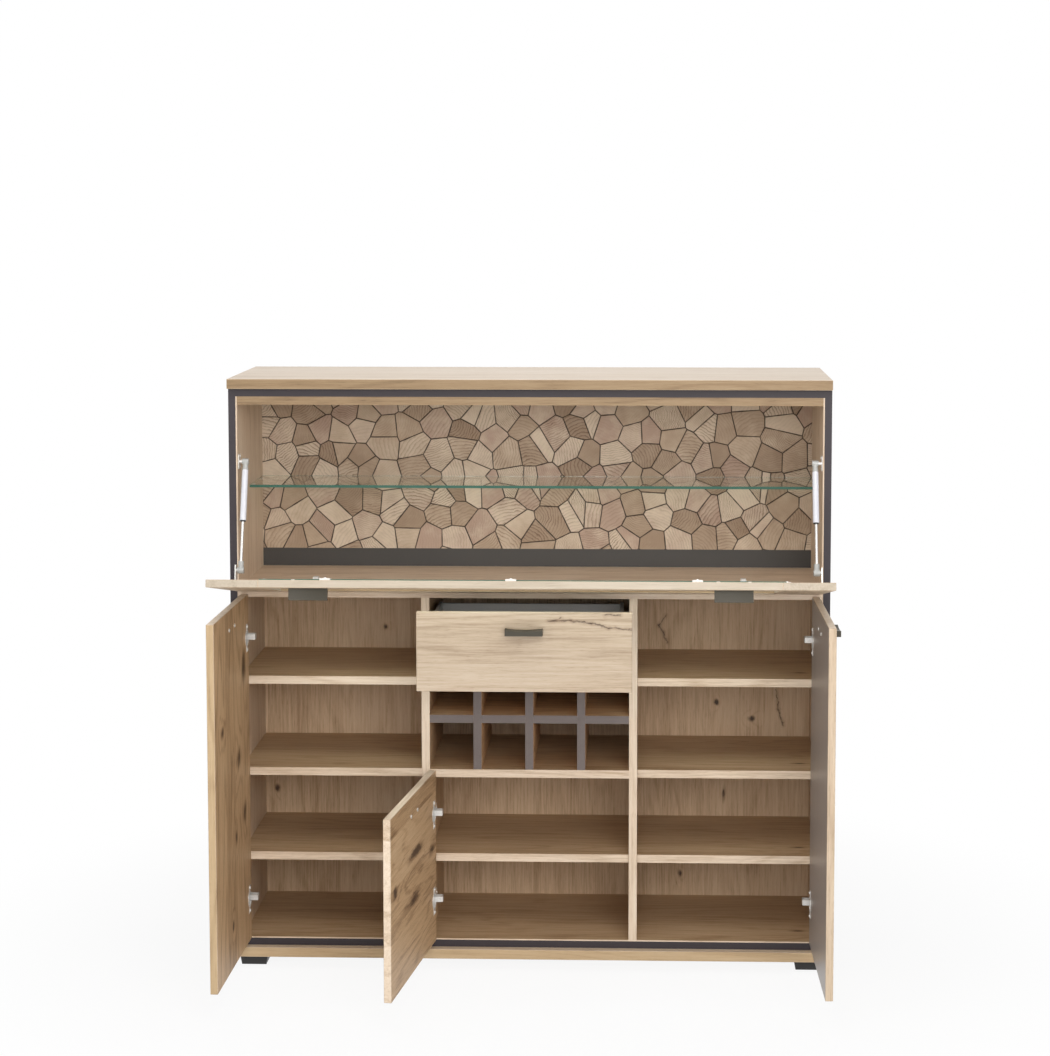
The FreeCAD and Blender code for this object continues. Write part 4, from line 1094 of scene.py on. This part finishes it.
def hinge_screws(front, along, pivots, wall):
    """Screws in a front's cups, and in the arms and their plates on a wall this far from the pin."""
    turn = opened(f"{front}_hinge")
    in_cups, in_arms = [], []
    for pivot in pivots:
        axes = hinge_axes(along, pivot)
        for side in (-1, 1):
            cup = standing((CUP_MIDDLE, CUP_FACE, side * CUP_SCREW), HINGE_INWARD)
            in_cups.append(turn @ axes @ cup)
            plate = standing((wall + PLATE_FACE, PLATE_MIDDLE, side * PLATE_SCREW), HINGE_ALONG)
            in_arms.append(axes @ plate)
        for inside in ARM_SCREWS:
            in_arms.append(axes @ standing((wall + PLATE_FACE + ARM_HEIGHT, inside, 0), HINGE_ALONG))
    screws_on(f"{front}_cup_screws", front, in_cups, *CUP_SCREW_SIZE)
    screws_on(f"{front}_arm_screws", "carcass", in_arms, *ARM_SCREW_SIZE)


print("screws that clamp an arm:", len(ARM_SCREWS))

# %% Door and flap hinges
CUP_HALF_LENGTH = 0.031
ARM_HALF_SPAN = 0.024


def door_hinge_screws(door, sign):
    """Screws of a door's two hinges, on a wall to the left of its pin or to the right."""
    pin = Vector(joints[f"{door}_hinge"]["pos_m"])
    low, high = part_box(f"{door}_hinge_cups")
    arm_low, arm_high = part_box(f"{door}_hinge_arms")
    wall_x = arm_low.x if sign > 0 else arm_high.x
    heights = (low.z + CUP_HALF_LENGTH, high.z - CUP_HALF_LENGTH)
    hinge_screws(door, (sign, 0, 0), [(pin.x, pin.y, z) for z in heights], sign * (wall_x - pin.x))


door_hinge_screws("left_door", 1)
door_hinge_screws("centre_door", 1)
door_hinge_screws("right_door", -1)
flap_pin = Vector(joints["flap_hinge"]["pos_m"])
arms_low, arms_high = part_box("flap_hinge_arms")
flap_x = arms_high.x - ARM_HALF_SPAN
flap_pivots = [(x, flap_pin.y, flap_pin.z) for x in (-flap_x, flap_x)]
hinge_screws("flap", UP, flap_pivots, arms_low.z - flap_pin.z)

# %% [markdown]
# ## Other screws
# Eight clips hold the flap's pane, the struts hang on brackets on the flap and on the side linings, and
# the raw back panel is screwed to the carcass. The heads could be placed on the open flap, but its tilt
# would make odd numbers. So the flap's are written as X and Z on the shut flap and turned open with it.

# %% Clip and bracket screws
CLIP_FACE = -0.188
CLIP_PLACES = (
    *((x, z) for x in (-0.409, -0.022, 0.365) for z in (0.9335, 1.206)),
    (-0.557, 1.06975),
    (0.557, 1.06975),
)
CLIP_SCREW_SIZE = (0.0032, 0.0015)
BRACKET_FACE = -0.192
BRACKET_PLACES = tuple((x, z) for x in (-0.617, 0.617) for z in (0.9205, 0.9325))
BRACKET_SCREW_SIZE = (0.0028, 0.0014)
STRUT_PLATE_X = 0.644
STRUT_PLATE_Y = -0.163
STRUT_PLATE_Z = (1.133, 1.155)

flap_turn = opened("flap_hinge")
clip_screws = [flap_turn @ standing((x, CLIP_FACE, z), BACK) for x, z in CLIP_PLACES]
screws_on("flap_clip_screws", "flap", clip_screws, *CLIP_SCREW_SIZE)
bracket_screws = [flap_turn @ standing((x, BRACKET_FACE, z), BACK) for x, z in BRACKET_PLACES]
screws_on("flap_bracket_screws", "flap", bracket_screws, *BRACKET_SCREW_SIZE)
plate_screws = [
    standing((side * STRUT_PLATE_X, STRUT_PLATE_Y, z), (-side, 0, 0))
    for side in (-1, 1) for z in STRUT_PLATE_Z
]
screws_on("strut_plate_screws", "carcass", plate_screws, *BRACKET_SCREW_SIZE)

# %% Back panel screws
BACK_FACE = 0.193
BACK_PLACES = (
    *((x, z) for x in (-0.6, -0.36, -0.12, 0.12, 0.36, 0.6) for z in (0.077, 0.852, 1.281)),
    *((x, z) for x in (-0.64, 0.64) for z in (0.27, 0.46, 0.65, 1.0, 1.15)),
)
BACK_SCREW_SIZE = (0.0036, 0.0018)

back_screws = [standing((x, BACK_FACE, z), BACK) for x, z in BACK_PLACES]
screws_on("back_panel_screws", "carcass", back_screws, *BACK_SCREW_SIZE)

# %% [markdown]
# ## Strut seals
# Where the rod leaves a gas strut's tube, a black ring wipes it clean. A torus would be quick to add, but
# the real ring has a flat face and one eased edge. So the outline of its section is drawn and spun once
# round the strut's axis.

# %% Strut seals
TUBE_END = 0.134
SEAL_INNER = 0.0032
SEAL_OUTER = 0.0062
SEAL_HEIGHT = 0.0024
SEAL_EASE = 0.0006
SEAL_STEPS = 24


def strut_seal(side):
    """A seal at the end of one strut's tube."""
    shape = bmesh.new()
    outline = (
        (SEAL_INNER, 0.0), (SEAL_OUTER, 0.0), (SEAL_OUTER, SEAL_HEIGHT - SEAL_EASE),
        (SEAL_OUTER - SEAL_EASE, SEAL_HEIGHT), (SEAL_INNER, SEAL_HEIGHT),
    )
    points = [shape.verts.new((x, 0.0, z)) for x, z in outline]
    edges = [shape.edges.new(pair) for pair in zip(points, points[1:] + points[:1])]
    bmesh.ops.spin(
        shape, geom=points + edges, cent=(0, 0, 0), axis=(0, 0, 1), angle=2 * math.pi, steps=SEAL_STEPS,
        use_merge=True,
    )
    top = Vector(joints[f"{side}_strut_turn"]["pos_m"])
    place = standing(top + strut_way * TUBE_END, strut_way)
    bmesh.ops.transform(shape, matrix=place, verts=shape.verts)
    name, body = f"{side}_strut_seal", f"{side}_strut_body"
    return piece_of(shape, name, body, finishes["black_plastic"], smooth=True)


for side in ("left", "right"):
    print(side, "seal,", len(strut_seal(side).data.polygons), "faces")
